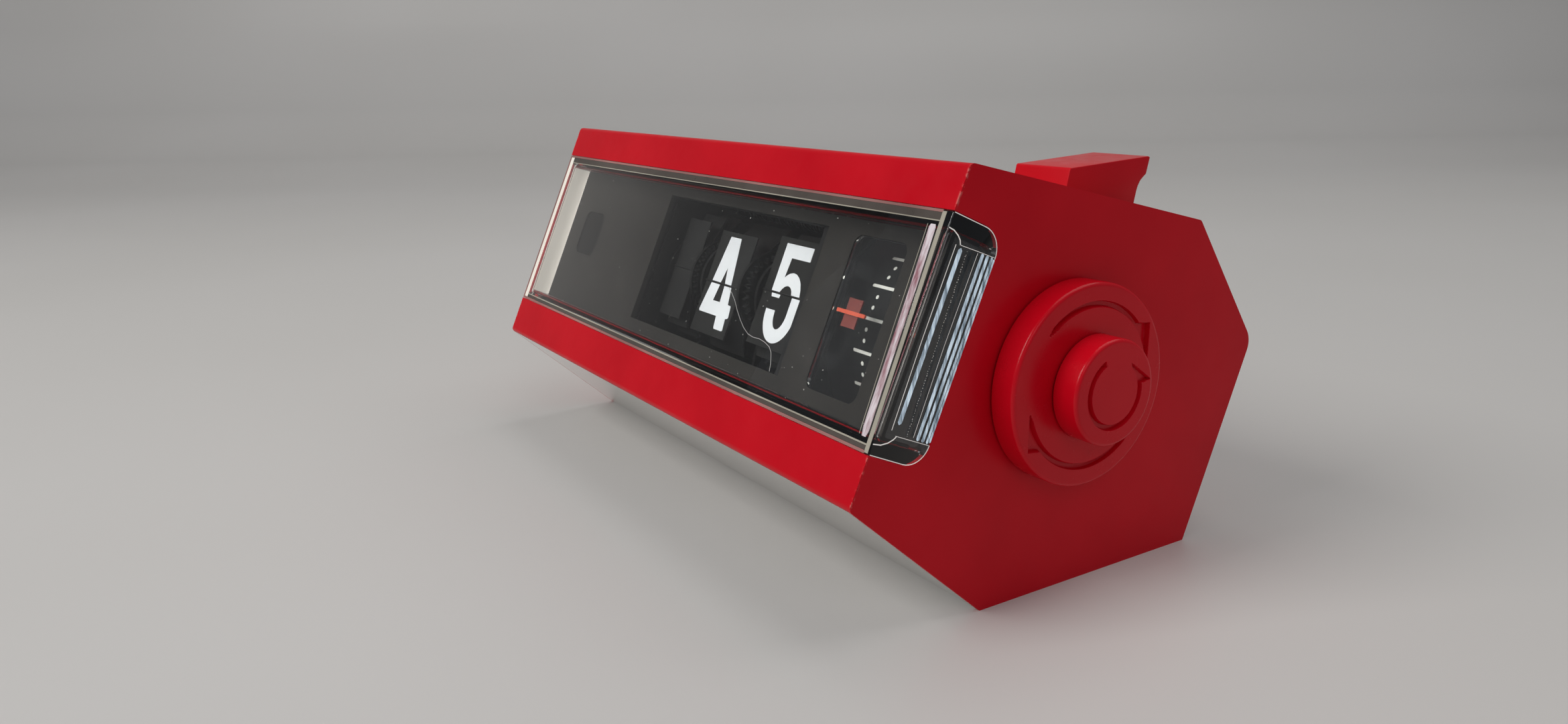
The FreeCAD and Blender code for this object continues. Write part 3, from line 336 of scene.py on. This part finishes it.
# ---- figures on the flaps -------------------------------------------------------------
D0 = 15.3
five_up = [(17.25, 44.3), (28.35, 44.3), (28.35, 41.25), (20.95, 41.25), (20.6, 36.75), (21.3, 37.35), (22.3, 37.9), (23.6, 38.2),
           (25.0, 38.05), (26.3, 37.45), (27.5, 36.35), (28.3, 34.9), (28.75, 33.32),
           (25.45, 33.32), (25.0, 34.3), (24.2, 34.95), (23.1, 35.2), (22.0, 34.9), (21.1, 34.2), (20.55, 33.32), (17.25, 33.32)]
five_lo_a = [(17.7, 32.9), (21.35, 32.9), (21.15, 32.1), (18.0, 32.1)]
five_lo_b = ([(17.5, 29.3), (21.3, 29.3)] + arc(23.75, 29.3, 2.45, 3.9, 180, 270, 9) + arc(23.75, 29.0, 2.45, 3.6, 270, 360, 9)
             + [(26.15, 32.9), (29.55, 32.9), (29.6, 29.2)] + arc(23.6, 29.0, 6.0, 6.75, 0, -180, 22))
four_up = [(-6.85, 42.75), (-2.0, 42.75), (0.3, 31.72), (-2.7, 31.72), (-3.75, 35.4), (-4.75, 31.72), (-8.8, 31.72)]
four_lo = [(-8.85, 31.2), (-4.75, 31.2), (-5.5, 27.25), (-2.2, 27.25), (-2.55, 31.2), (0.75, 31.2), (1.75, 27.2), (3.2, 27.1),
           (3.75, 24.4), (3.4, 24.05), (2.6, 23.95), (3.05, 21.2), (2.7, 20.95), (-0.95, 20.95), (-1.2, 21.3), (-1.75, 23.95),
           (-10.1, 23.95), (-10.35, 24.4)]


def figure(name, outlines, body, d=D0):
    mid, off = (23.5, -0.75) if "units" in name else (-3.2, -0.2)
    outlines = [[(mid + (x - mid) * 0.965 + off, s if abs(s - 33.1) < 0.5 or abs(s - 31.5) < 0.5 else 32.6 + (s - 32.6) * 0.985) for x, s in o] for o in outlines]
    v, f = join([slab(o, d - 0.010, d + 0.005) for o in outlines])
    return piece(name, v, f, FRONT, "figure", body, 30.0)


figure("figure_units_upper", [five_up], "units_flap_body")
figure("figure_units_lower", [five_lo_a, five_lo_b], "units_drum_body")
figure("figure_tens_upper", [four_up], "tens_flap_body")
figure("figure_tens_lower", [four_lo], "tens_drum_body")
# lower half of the next figure, printed upside down on the back of each standing flap
six_back = [[(17.6, 33.5), (20.8, 33.5), (20.8, 38.5), (21.6, 40.2), (23.5, 41.0), (25.4, 40.2), (26.2, 38.5), (26.2, 33.5),
             (29.5, 33.5), (29.5, 38.6), (28.4, 41.8), (26.3, 43.7), (23.5, 44.2), (20.7, 43.7), (18.6, 41.8), (17.6, 38.6)]]
v, f = join([slab(o, D0 + 0.34, D0 + 0.385) for o in six_back])
piece("figure_units_next", v, f, FRONT, "figure", "units_flap_body", 30.0)
v, f = join([slab([(-8.6, 33.0), (-5.4, 33.0), (-5.2, 36.5), (-4.0, 39.6), (-2.6, 39.6), (-1.4, 36.5), (-1.2, 33.0), (2.0, 33.0),
                   (1.7, 37.6), (0.4, 41.2), (-1.6, 42.6), (-5.0, 42.6), (-7.2, 41.2), (-8.3, 37.6)], D0 + 0.34, D0 + 0.385)])
piece("figure_tens_next", v, f, FRONT, "figure", "tens_flap_body", 30.0)

# ---- alarm drum marks -------------------------------------------------------------------
R = 25.2
vs, fs = [], []


def on_drum(x, a, h=0.03):
    """Point on the alarm drum; a is measured from the front of the drum, upwards."""
    t = math.radians(a)
    return (x, 40.0 - (R + h) * math.cos(t), 34.4 + (R + h) * math.sin(t))


def drum_patch(pts):
    k = len(vs)
    n = len(pts)
    vs.extend([on_drum(x, a, 0.035) for x, a in pts] + [on_drum(x, a, -0.03) for x, a in pts])
    fs.append(tuple(range(k, k + n)))
    fs.append(tuple(range(k + 2 * n - 1, k + n - 1, -1)))
    for i in range(n):
        j = (i + 1) % n
        fs.append((k + i, k + n + i, k + n + j, k + j))


for q in range(24):
    a = -2.5 + 15.0 * q
    w = 0.72
    drum_patch([(51.4, a - w), (59.3, a - w), (59.5, a - w * 0.5), (59.5, a + w * 0.5), (59.3, a + w), (51.4, a + w), (51.2, a + w * 0.5), (51.2, a - w * 0.5)])
    for e in (5.0, 10.0):
        drum_patch([(54.3 + 0.42 * math.cos(t), a + e + math.degrees(0.42 / R) * math.sin(t)) for t in [math.pi * 2 * i / 12 for i in range(12)]])
piece("alarm_drum_marks", vs, fs, FRONT, "tick", "alarm_setting", 30.0)

# ---- pointer: one red piece, its bar painted lit and its tab painted in shade -----------
M["pointer_bar"] = plastic("pointer_painted_lit", (0.62, 0.075, 0.025), 0.40, 0.05, 0.10, 2500.0, 0.02)
M["pointer_tab"] = plastic("pointer_painted_shade", (0.17, 0.018, 0.010), 0.45, 0.05, 0.15, 2500.0, 0.02)
bar = [(51.2, 32.7)] + [(51.0, 33.0), (51.2, 33.3)] + [(59.9, 33.3), (60.1, 33.0), (59.9, 32.7)]
bar = [(51.0, 32.62), (59.9, 32.62), (60.15, 32.8), (60.15, 33.2), (59.9, 33.38), (51.0, 33.38)]
v, f = slab(bar, 9.62, 10.0)
piece("pointer_bar", v, f, FRONT, "pointer_bar", "case", 30.0, replaces=("alarm_pointer",))
v, f = slab([(53.25, 30.15), (57.65, 30.15), (57.65, 35.85), (53.25, 35.85)], 10.0, 10.25)
piece("pointer_tab", v, f, FRONT, "pointer_tab", "case", 30.0)


# ---- knobs, with their arrows sunk in -------------------------------------------------------
def poly_mask(px, py, poly, soft):
    """0 outside the polygon, 1 well inside it, blended over the width soft."""
    poly = np.array(poly)
    inside = np.zeros(px.shape, bool)
    dist = np.full(px.shape, 1e9)
    n = len(poly)
    for i in range(n):
        x0, y0 = poly[i]
        x1, y1 = poly[(i + 1) % n]
        c = ((y0 > py) != (y1 > py)) & (px < (x1 - x0) * (py - y0) / (y1 - y0 + 1e-12) + x0)
        inside ^= c
        L = (x1 - x0) ** 2 + (y1 - y0) ** 2
        t = np.clip(((px - x0) * (x1 - x0) + (py - y0) * (y1 - y0)) / (L + 1e-12), 0, 1)
        dist = np.minimum(dist, np.hypot(px - x0 - t * (x1 - x0), py - y0 - t * (y1 - y0)))
    s = np.clip(np.where(inside, dist, -dist) / soft + 0.5, 0, 1)
    return s * s * (3 - 2 * s)


def polar(r, a):
    return (r * math.cos(math.radians(a)), r * math.sin(math.radians(a)))


def knob_mesh(name, x0, x1, rad, rnd, rstep, nth, arrows, deep, body, cad, bore=0.0, dish=0.0):
    rs = list(np.arange(bore, rad - rnd, rstep)) + [rad - rnd]
    th = np.arange(nth) * 2 * math.pi / nth
    verts, faces = [], []
    ring = []
    for r in rs:
        px, py = r * np.cos(th), r * np.sin(th)
        h = np.zeros(nth)
        if r > 0:
            for a in arrows:
                h = np.maximum(h, poly_mask(px, py, a, 0.22))
        xx = x1 - deep * h - dish * max(0.0, 1 - r / (rad * 0.75)) ** 0.5 * 0
        ring.append(len(verts))
        verts += [(float(xx[i]), float(px[i]), float(py[i])) for i in range(nth)]
    for k in range(1, 7):                                    # rounded rim
        a = math.pi / 2 * k / 6
        r, x = rad - rnd + rnd * math.sin(a), x1 - rnd + rnd * math.cos(a)
        ring.append(len(verts))
        verts += [(x, r * math.cos(t), r * math.sin(t)) for t in th]
    for r, x in ((rad, x0 + 0.15), (rad - 0.15, x0), (bore, x0)):
        ring.append(len(verts))
        verts += [(x, r * math.cos(t), r * math.sin(t)) for t in th]
    if bore > 0:
        ring.append(ring[0])
    for a, b in zip(ring, ring[1:]):
        for i in range(nth):
            j = (i + 1) % nth
            faces.append((a + i, a + j, b + j, b + i))
    return piece(name, verts, faces, KNOB, "knob", body, 40.0, replaces=(cad,))


# the arrows are measured from the back (+Y), upwards
def big_arrow(turn):
    out = [polar(15.45, 135 + turn)] + [polar(15.95, a + turn) for a in range(128, 38, -4)]
    out += [polar(16.0, 39.5 + turn), polar(16.6, 37.5 + turn), polar(18.1, 33 + turn)]
    out += [polar(15.3, 11 + turn)] + [polar(14.95, a + turn) for a in range(16, 130, 4)]
    return out


small_arrow = ([polar(6.9, a) for a in range(114, 364, 6)] + [polar(6.9, 367)] + [polar(9.2, 368), polar(6.4, 411), polar(5.95, 404)]
               + [polar(6.0, a) for a in range(396, 113, -6)])
# knob mesh rings run from +Y to +Z, so the outline is used as it stands
knob_mesh("alarm_knob_face", 85.4, 91.0, 19.4, 0.75, 0.16, 720, [big_arrow(0), big_arrow(180)], 1.0, "alarm_setting", "alarm_knob", 3.4)
knob_mesh("time_knob_face", 91.3, 96.9, 10.0, 0.7, 0.13, 540, [small_arrow], 0.85, "time_setting", "time_knob", 0.0)

# ---- top button -----------------------------------------------------------------------------
T0, T1 = 31.8, 51.4
prof = [(T0, -9.0), (T1, -9.0), (T1, 3.3), (T1 + 0.1, 4.3), (T1 + 0.45, 5.4), (T1 + 1.1, 6.3), (T1 + 1.7, 7.0), (T1 + 1.75, 10.4),
        (T1 + 1.2, 10.45), (T0 + 0.2, 4.35), (T0, 4.0)]
v, f = slab([(a, b) for a, b in prof], 62.4, 77.0, "x")
piece("alarm_button_cap", v, f, BUTTON, "button", "top_button", 50.0, bevel=0.55, replaces=("alarm_button",))


# ---- clear window: a tray with rounded outer and inner edges ------------------------------------
def rounded_box(x0, x1, d0, d1, s0, s1, back_r, edge_r, seg=5):
    bm = bmesh.new()
    vs_ = [bm.verts.new((x, d, s)) for x in (x0, x1) for d in (d0, d1) for s in (s0, s1)]
    for q in ((0, 1, 3, 2), (4, 6, 7, 5), (0, 4, 5, 1), (2, 3, 7, 6), (0, 2, 6, 4), (1, 5, 7, 3)):
        bm.faces.new([vs_[i] for i in q])
    bmesh.ops.recalc_face_normals(bm, faces=bm.faces)
    if back_r:
        es = [e for e in bm.edges if all(abs(v.co.y - d1) < 1e-6 for v in e.verts) and abs(e.verts[0].co.x - e.verts[1].co.x) > 1]
        bmesh.ops.bevel(bm, geom=es, offset=back_r, segments=10, profile=0.5, affect="EDGES")
    es = [e for e in bm.edges if len(e.link_faces) == 2 and e.calc_face_angle(0) > math.radians(40)]
    bmesh.ops.bevel(bm, geom=es, offset=edge_r, segments=seg, profile=0.5, affect="EDGES")
    me = bpy.data.meshes.new("tmp")
    bm.to_mesh(me)
    bm.free()
    return bpy.data.objects.new("tmp", me)


outer = rounded_box(-84.94, 84.94, 0.06, 12.6, 10.1, 53.9, 4.6, 0.28, 3)
inner = rounded_box(-82, 82, 2.5, 20, 12.7, 51.3, 0, 1.3, 6)
for o in (outer, inner):
    scene.collection.objects.link(o)
bpy.context.view_layer.update()
md = outer.modifiers.new("cut", "BOOLEAN")
md.object, md.operation, md.solver = inner, "DIFFERENCE", "EXACT"
dg = bpy.context.evaluated_depsgraph_get()
lens_me = bpy.data.meshes.new_from_object(outer.evaluated_get(dg))
bpy.data.objects.remove(outer)
bpy.data.objects.remove(inner)
lens_me.transform(FRONT)
lens_me.materials.clear()
lens_me.materials.append(M["clear"])
lens_me.polygons.foreach_set("use_smooth", [True] * len(lens_me.polygons))
lens_me.set_sharp_from_angle(angle=math.radians(32))
lens_o = bpy.data.objects.new("window_tray", lens_me)
scene.collection.objects.link(lens_o)
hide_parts("lens")
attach(lens_o, "case")

# ---- panel returns and end flanges, black ------------------------------------------------------
parts = []
for x in (-81.55, 80.55):
    parts.append(slab([(x, 13.2), (x + 1.0, 13.2), (x + 1.0, 50.8), (x, 50.8)], 9.75, 19.0))
v, f = join(parts)
piece("panel_end_flanges", v, f, FRONT, "black", "case", 30.0)


def frame_walls(x0, x1, s0, s1, d0, d1, t=0.6):
    return [slab(q, d0, d1) for q in (
        [(x0 - t, s0 - t), (x1 + t, s0 - t), (x1 + t, s0), (x0 - t, s0)], [(x0 - t, s1), (x1 + t, s1), (x1 + t, s1 + t), (x0 - t, s1 + t)],
        [(x0 - t, s0), (x0, s0), (x0, s1), (x0 - t, s1)], [(x1, s0), (x1 + t, s0), (x1 + t, s1), (x1, s1)])]


v, f = join(frame_walls(-28.8, 40.2, 16.7, 48.5, 10.75, 12.2) + frame_walls(50.0, 66.6, 16.7, 48.0, 10.75, 11.4))
piece("window_returns", v, f, FRONT, "black", "case", 30.0)
v, f = join([slab([(-73.2, 27.8), (-61.5, 27.8), (-61.5, 39.8), (-73.2, 39.8)], 9.85, 10.2)])
piece("indicator_backing", v, f, FRONT, "black", "case", 30.0)


# ---- clear wing: painted reflections and highlights for its rib, dotted line and thick back edge ---
def rod(x, d, s0, s1, r, n=10, squash=1.0):
    v_, f_ = [], []
    ends = [(s0, 0.3), (s0 + r, 1.0), (s1 - r, 1.0), (s1, 0.3)]
    for s, k in ends:
        for i in range(n):
            a = 2 * math.pi * i / n
            v_.append((x + r * k * squash * math.cos(a), d + r * k * math.sin(a), s))
    for q in range(3):
        for i in range(n):
            j = (i + 1) % n
            f_.append((q * n + i, q * n + j, (q + 1) * n + j, (q + 1) * n + i))
    f_.append(tuple(range(n - 1, -1, -1)))
    f_.append(tuple(range(3 * n, 4 * n)))
    return v_, f_


def end_strip(d0, d1, s0, s1, r=0.25):
    """Thin strip of painted reflection on the end of the clear window, with rounded ends."""
    o = [(d0, s0 + r), (d0 + r, s0), (d1 - r, s0), (d1, s0 + r), (d1, s1 - r), (d1 - r, s1), (d0 + r, s1), (d0, s1 - r)]
    return slab(o, 84.955, 84.995, "x")


def line_on(points, w, plane, a, b_):
    """Thin ribbon along points; plane x: points are (d, s), plane d: points are (x, s)."""
    out = []
    for (p0, q0), (p1, q1) in zip(points, points[1:]):
        L_ = math.hypot(p1 - p0, q1 - q0)
        ux, uy = (p1 - p0) / L_ * w * 0.3, (q1 - q0) / L_ * w * 0.3
        nx_, ny_ = -(q1 - q0) / L_ * w / 2, (p1 - p0) / L_ * w / 2
        out.append(slab([(p0 - ux + nx_, q0 - uy + ny_), (p0 - ux - nx_, q0 - uy - ny_), (p1 + ux - nx_, q1 + uy - ny_), (p1 + ux + nx_, q1 + uy + ny_)], a, b_, plane))
    return out


# painted reflections: glowing strips on the end of the clear window, where its rib and thick back edge catch the light
v, f = join([end_strip(3.75, 4.65, 16.6, 48.6, 0.4), end_strip(9.05, 9.75, 14.9, 49.3), end_strip(10.3, 10.95, 14.9, 49.4), end_strip(11.45, 11.95, 14.9, 49.4, 0.2),
             end_strip(12.1, 12.5, 15.2, 49.2, 0.15)])
piece("window_painted_reflections_right", v, f, FRONT, "painted_blue_edge", "case", 30.0)
# painted highlights: thin glowing lines along the rounded edges on the end of the clear window
v, f = join(line_on([(0.2, 51.0), (1.4, 50.9), (2.6, 50.4), (3.4, 49.8), (3.8, 49.1)], 0.20, "x", 84.96, 84.99)
            + line_on([(0.2, 12.2), (1.8, 12.4), (3.2, 13.1), (4.1, 13.9), (4.5, 14.5)], 0.20, "x", 84.96, 84.99)
            + line_on([(4.0, 49.05), (8.0, 49.3), (12.4, 49.5)], 0.10, "x", 84.96, 84.99)
            + line_on([(4.3, 14.6), (8.0, 14.65), (12.2, 14.7)], 0.10, "x", 84.96, 84.99)
            + line_on([(3.05, 15.4), (2.75, 32.0), (2.85, 48.8)], 0.13, "x", 84.96, 84.99)
            + line_on([(8.3, 15.3), (8.0, 32.0), (8.2, 49.0)], 0.07, "x", 84.96, 84.99)
            + line_on([(0.3, 53.75), (8.0, 53.75)], 0.14, "x", 84.96, 84.99) + line_on([(0.3, 10.25), (8.0, 10.25)], 0.14, "x", 84.96, 84.99)
            + line_on(arc(8.0, 49.3, 4.45, 4.45, 0, 90, 10), 0.16, "x", 84.96, 84.99) + line_on(arc(8.0, 14.7, 4.45, 4.45, -90, 0, 10), 0.16, "x", 84.96, 84.99))
piece("window_painted_highlight_lines_right", v, f, FRONT, "edge_line", "case", 30.0)
# painted highlights: a dotted line of tiny pale specks on the end of the clear window
beads = []
for i in range(74):
    s = 15.2 + i * 0.455 + rng.uniform(-0.12, 0.12)
    r = rng.uniform(0.05, 0.12)
    dd = 6.8 - 1.1 * (s - 15.0) / 34.0 + rng.uniform(-0.08, 0.08)
    beads.append(slab([(dd - r * 0.8, s - r), (dd + r * 0.7, s - r * 0.9), (dd + r, s + r * 0.6), (dd - r * 0.5, s + r)], 84.96, 84.99, "x"))
v, f = join(beads)
piece("window_painted_bead_highlights", v, f, FRONT, "lint", "case", 60.0)

# painted highlights on the front of the tray: its bright front corner and the edges of its long walls
v, f = slab([(82.15, 53.6), (83.25, 53.6), (83.9, 32.0), (84.55, 10.35), (83.5, 10.35), (82.9, 32.0)], 0.015, 0.05)
piece("window_corner_strip", v, f, FRONT, "painted_edge_highlight_beige", "case", 30.0)
# painted highlight: a pinkish-white strip at the near front corner of the tray
v, f = slab([(80.0, 50.6), (80.3, 51.1), (81.5, 51.1), (81.8, 50.5), (82.25, 40.0), (82.6, 25.0), (82.95, 14.0), (82.6, 12.8), (81.5, 12.8), (81.1, 14.5), (80.85, 25.0), (80.5, 40.0)], 0.015, 0.05)
piece("window_corner_glow", v, f, FRONT, "painted_corner_highlight", "case", 30.0)
v, f = join(line_on([(79.45, 51.0), (79.9, 32.0), (80.7, 13.0)], 0.14, "d", 0.015, 0.05) + line_on([(-84.6, 51.85), (82.1, 51.85)], 0.22, "d", 0.015, 0.05)
            + line_on([(-84.6, 11.7), (83.4, 11.7)], 0.30, "d", 0.015, 0.05))
piece("window_painted_highlight_lines_front", v, f, FRONT, "painted_edge_highlight_beige", "case", 30.0)
# painted reflections of the red case along the top and bottom rims of the tray
v, f = join(line_on([(-84.6, 53.62), (82.1, 53.62)], 0.50, "d", 0.015, 0.05) + line_on([(-84.6, 10.42), (83.4, 10.42)], 0.55, "d", 0.015, 0.05))
piece("window_painted_rim_reflections", v, f, FRONT, "painted_edge_reflection_pink", "case", 30.0)
# painted shade: dark bands just inside the top and bottom rims of the tray
v, f = join([slab([(-84.6, 52.0), (82.1, 52.0), (82.1, 53.34), (-84.6, 53.34)], 0.02, 0.05), slab([(-84.6, 10.74), (83.4, 10.74), (83.4, 11.5), (-84.6, 11.5)], 0.02, 0.05)])
piece("window_painted_shade_bands", v, f, FRONT, "painted_edge_shade_brown", "case", 30.0)
# far end: painted glow on a thin sheet shaped like the inner face of the return, curving round to the panel, for the
# light it catches
prof_l = [(-82.0, 2.65, 51.2, 12.8), (-82.0, 6.4, 51.1, 12.9), (-81.5, 8.0, 50.8, 13.2), (-80.3, 9.0, 50.4, 13.6), (-78.6, 9.45, 49.9, 14.1),
          (-77.2, 9.58, 49.2, 14.8), (-76.2, 9.63, 48.0, 16.0), (-75.7, 9.65, 46.6, 17.4)]
v, f = [], []
for x, d, s1, s0 in prof_l:
    v += [(x, d, s0), (x, d, s1), (x + 0.03, d - 0.03, s1), (x + 0.03, d - 0.03, s0)]
for i in range(len(prof_l) - 1):
    for q in range(4):
        r_ = (q + 1) % 4
        f.append((i * 4 + q, i * 4 + r_, i * 4 + 4 + r_, i * 4 + 4 + q))
f += [(3, 2, 1, 0), tuple(len(v) - 4 + q for q in range(4))]
piece("window_painted_glow_left", v, f, FRONT, "painted_glow_left", "case", 60.0)
# painted glow on the far front corner of the tray
v, f = slab([(-84.0, 10.75), (-84.0, 53.3), (-82.0, 53.3), (-82.0, 10.75)], 0.012, 0.045)
piece("window_corner_glow_left", v, f, FRONT, "painted_glow_left", "case", 30.0)
# painted reflection of the red case in the far front corner of the tray
v, f = slab([(-84.9, 10.2), (-84.9, 53.8), (-84.1, 53.8), (-84.1, 10.2)], 0.012, 0.045)
piece("window_corner_strip_left", v, f, FRONT, "painted_edge_reflection_pink", "case", 30.0)
# near end: painted shade, a black sheet on the inner face, so that the bright strips stand on black
v, f = slab([(2.9, 13.2), (9.5, 13.2), (9.5, 50.8), (2.9, 50.8)], 81.90, 81.98, "x")
piece("window_painted_shade_right", v, f, FRONT, "black", "case", 30.0)

# ---- lint and a hair on the window -------------------------------------------------------------
flecks = []
for i in range(90):
    x, s = rng.uniform(-78, 80), rng.uniform(13.5, 50.5)
    r = rng.choice([0.04, 0.05, 0.06, 0.09])
    a = rng.uniform(0, 180)
    ca, sa = math.cos(math.radians(a)), math.sin(math.radians(a))
    q = [(x + (u * ca - w * sa) * r, s + (u * sa + w * ca) * r) for u, w in ((-1.6, -0.5), (0, -0.8), (1.5, -0.4), (1.8, 0.4), (0.1, 0.7), (-1.5, 0.5))]
    flecks.append(slab(q, 2.52, 2.56))
v, f = join(flecks)
piece("window_lint", v, f, FRONT, "lint", "case", 30.0)
hair = [(23.6, 30.4), (25.6, 29.4), (27.7, 28.1), (29.9, 26.3), (32.2, 24.7), (34.4, 23.4), (36.7, 22.5), (39.0, 22.2), (41.2, 22.35), (43.5, 22.1),
        (45.7, 21.5), (46.9, 20.6), (47.5, 19.6), (48.1, 18.4), (48.5, 17.0)]
v_, f_ = [], []
for i, (x, s) in enumerate(hair):
    a, b_ = hair[max(0, i - 1)], hair[min(len(hair) - 1, i + 1)]
    L = math.hypot(b_[0] - a[0], b_[1] - a[1])
    nx, ns = -(b_[1] - a[1]) / L, (b_[0] - a[0]) / L
    for q in range(6):
        c_, s_ = math.cos(math.pi * q / 3), math.sin(math.pi * q / 3)
        v_.append((x + nx * 0.055 * c_, 0.055 + 0.05 * s_, s + ns * 0.055 * c_))
for i in range(len(hair) - 1):
    for q in range(6):
        r_ = (q + 1) % 6
        f_.append((i * 6 + q, i * 6 + r_, i * 6 + 6 + r_, i * 6 + 6 + q))
f_ += [tuple(range(5, -1, -1)), tuple(range(len(v_) - 6, len(v_)))]
piece("window_hair", v_, f_, FRONT, "hair", "case", 60.0)

# ---- camera -----------------------------------------------------------------------------------
cam = bpy.data.objects.new("camera", bpy.data.cameras.new("camera"))
scene.collection.objects.link(cam)
Rr = ((0.53432706, 0.84506417, -0.01900376), (0.20560283, -0.1517423, -0.96679975), (-0.8198915, 0.51268004, -0.2548276))
cam.matrix_world = Matrix(((Rr[0][0], -Rr[1][0], -Rr[2][0], 0.23015629), (Rr[0][1], -Rr[1][1], -Rr[2][1], -0.13332022 - 0.02895),
                           (Rr[0][2], -Rr[1][2], -Rr[2][2], 0.10052471), (0, 0, 0, 1)))
cam.data.sensor_width = 36.0
cam.data.lens = 1677.79 * 36.0 / 2340.0
cam.data.clip_start, cam.data.clip_end = 0.005, 50.0
scene.camera = cam

# ---- stage and light ---------------------------------------------------------------------------
view_dir = Vector(Rr[2])
flat = Vector((view_dir.x, view_dir.y, 0)).normalized()
side = Vector((flat.y, -flat.x, 0))
prof = [(-3.0, 0.0), (0.75, 0.0), (0.95, 0.012), (1.08, 0.06), (1.14, 0.16), (1.16, 0.35), (1.16, 2.6)]
bm = bmesh.new()
rows_ = []
for a, z in prof:
    rows_.append([bm.verts.new(tuple(flat * a + side * w + Vector((0, 0, z)))) for w in (-4.0, 4.0)])
for a, b in zip(rows_, rows_[1:]):
    bm.faces.new((a[0], a[1], b[1], b[0]))
me = bpy.data.meshes.new("stage_floor")
bm.to_mesh(me)
bm.free()
me.polygons.foreach_set("use_smooth", [True] * len(me.polygons))
m, n, l, b = new_mat("stage_pale")
co = n.new("ShaderNodeTexCoord").outputs["Object"]
l.new(mixcol(n, l, remap(n, l, noise(n, l, co, 3.0, 2.0), 0.3, 0.7, 0, 1), (0.60, 0.585, 0.565), (0.63, 0.615, 0.60)), b.inputs["Base Color"])
b.inputs["Roughness"].default_value = 0.42
me.materials.append(m)
floor = bpy.data.objects.new("stage_floor", me)
scene.collection.objects.link(floor)


def area(name, loc, target, size, power, color=(1, 1, 1), size_y=None):
    d_ = bpy.data.lights.new(name, "AREA")
    d_.energy, d_.color, d_.size = power, color, size
    if size_y:
        d_.shape, d_.size_y = "RECTANGLE", size_y
    o = bpy.data.objects.new(name, d_)
    o.location = loc
    o.rotation_mode = "QUATERNION"
    o.rotation_quaternion = (Vector(target) - Vector(loc)).to_track_quat("-Z", "Y")
    scene.collection.objects.link(o)
    return o


area("key_window", (-0.15, -1.0, 0.85), (0, 0, 0.05), 0.6, 9.0, (1.0, 0.985, 0.96), 0.6)
area("fill_right", (0.95, -0.35, 0.75), (0.05, 0, 0.05), 0.5, 0.9, (0.95, 0.97, 1.0), 0.5)
area("top_soft", (0.1, 0.45, 1.1), (0, 0, 0.05), 1.0, 4.5, (1.0, 0.99, 0.97))
w = bpy.data.worlds.new("studio")
w.use_nodes = True
w.node_tree.nodes["Background"].inputs["Color"].default_value = (0.80, 0.83, 0.88, 1)
w.node_tree.nodes["Background"].inputs["Strength"].default_value = 0.26
scene.world = w
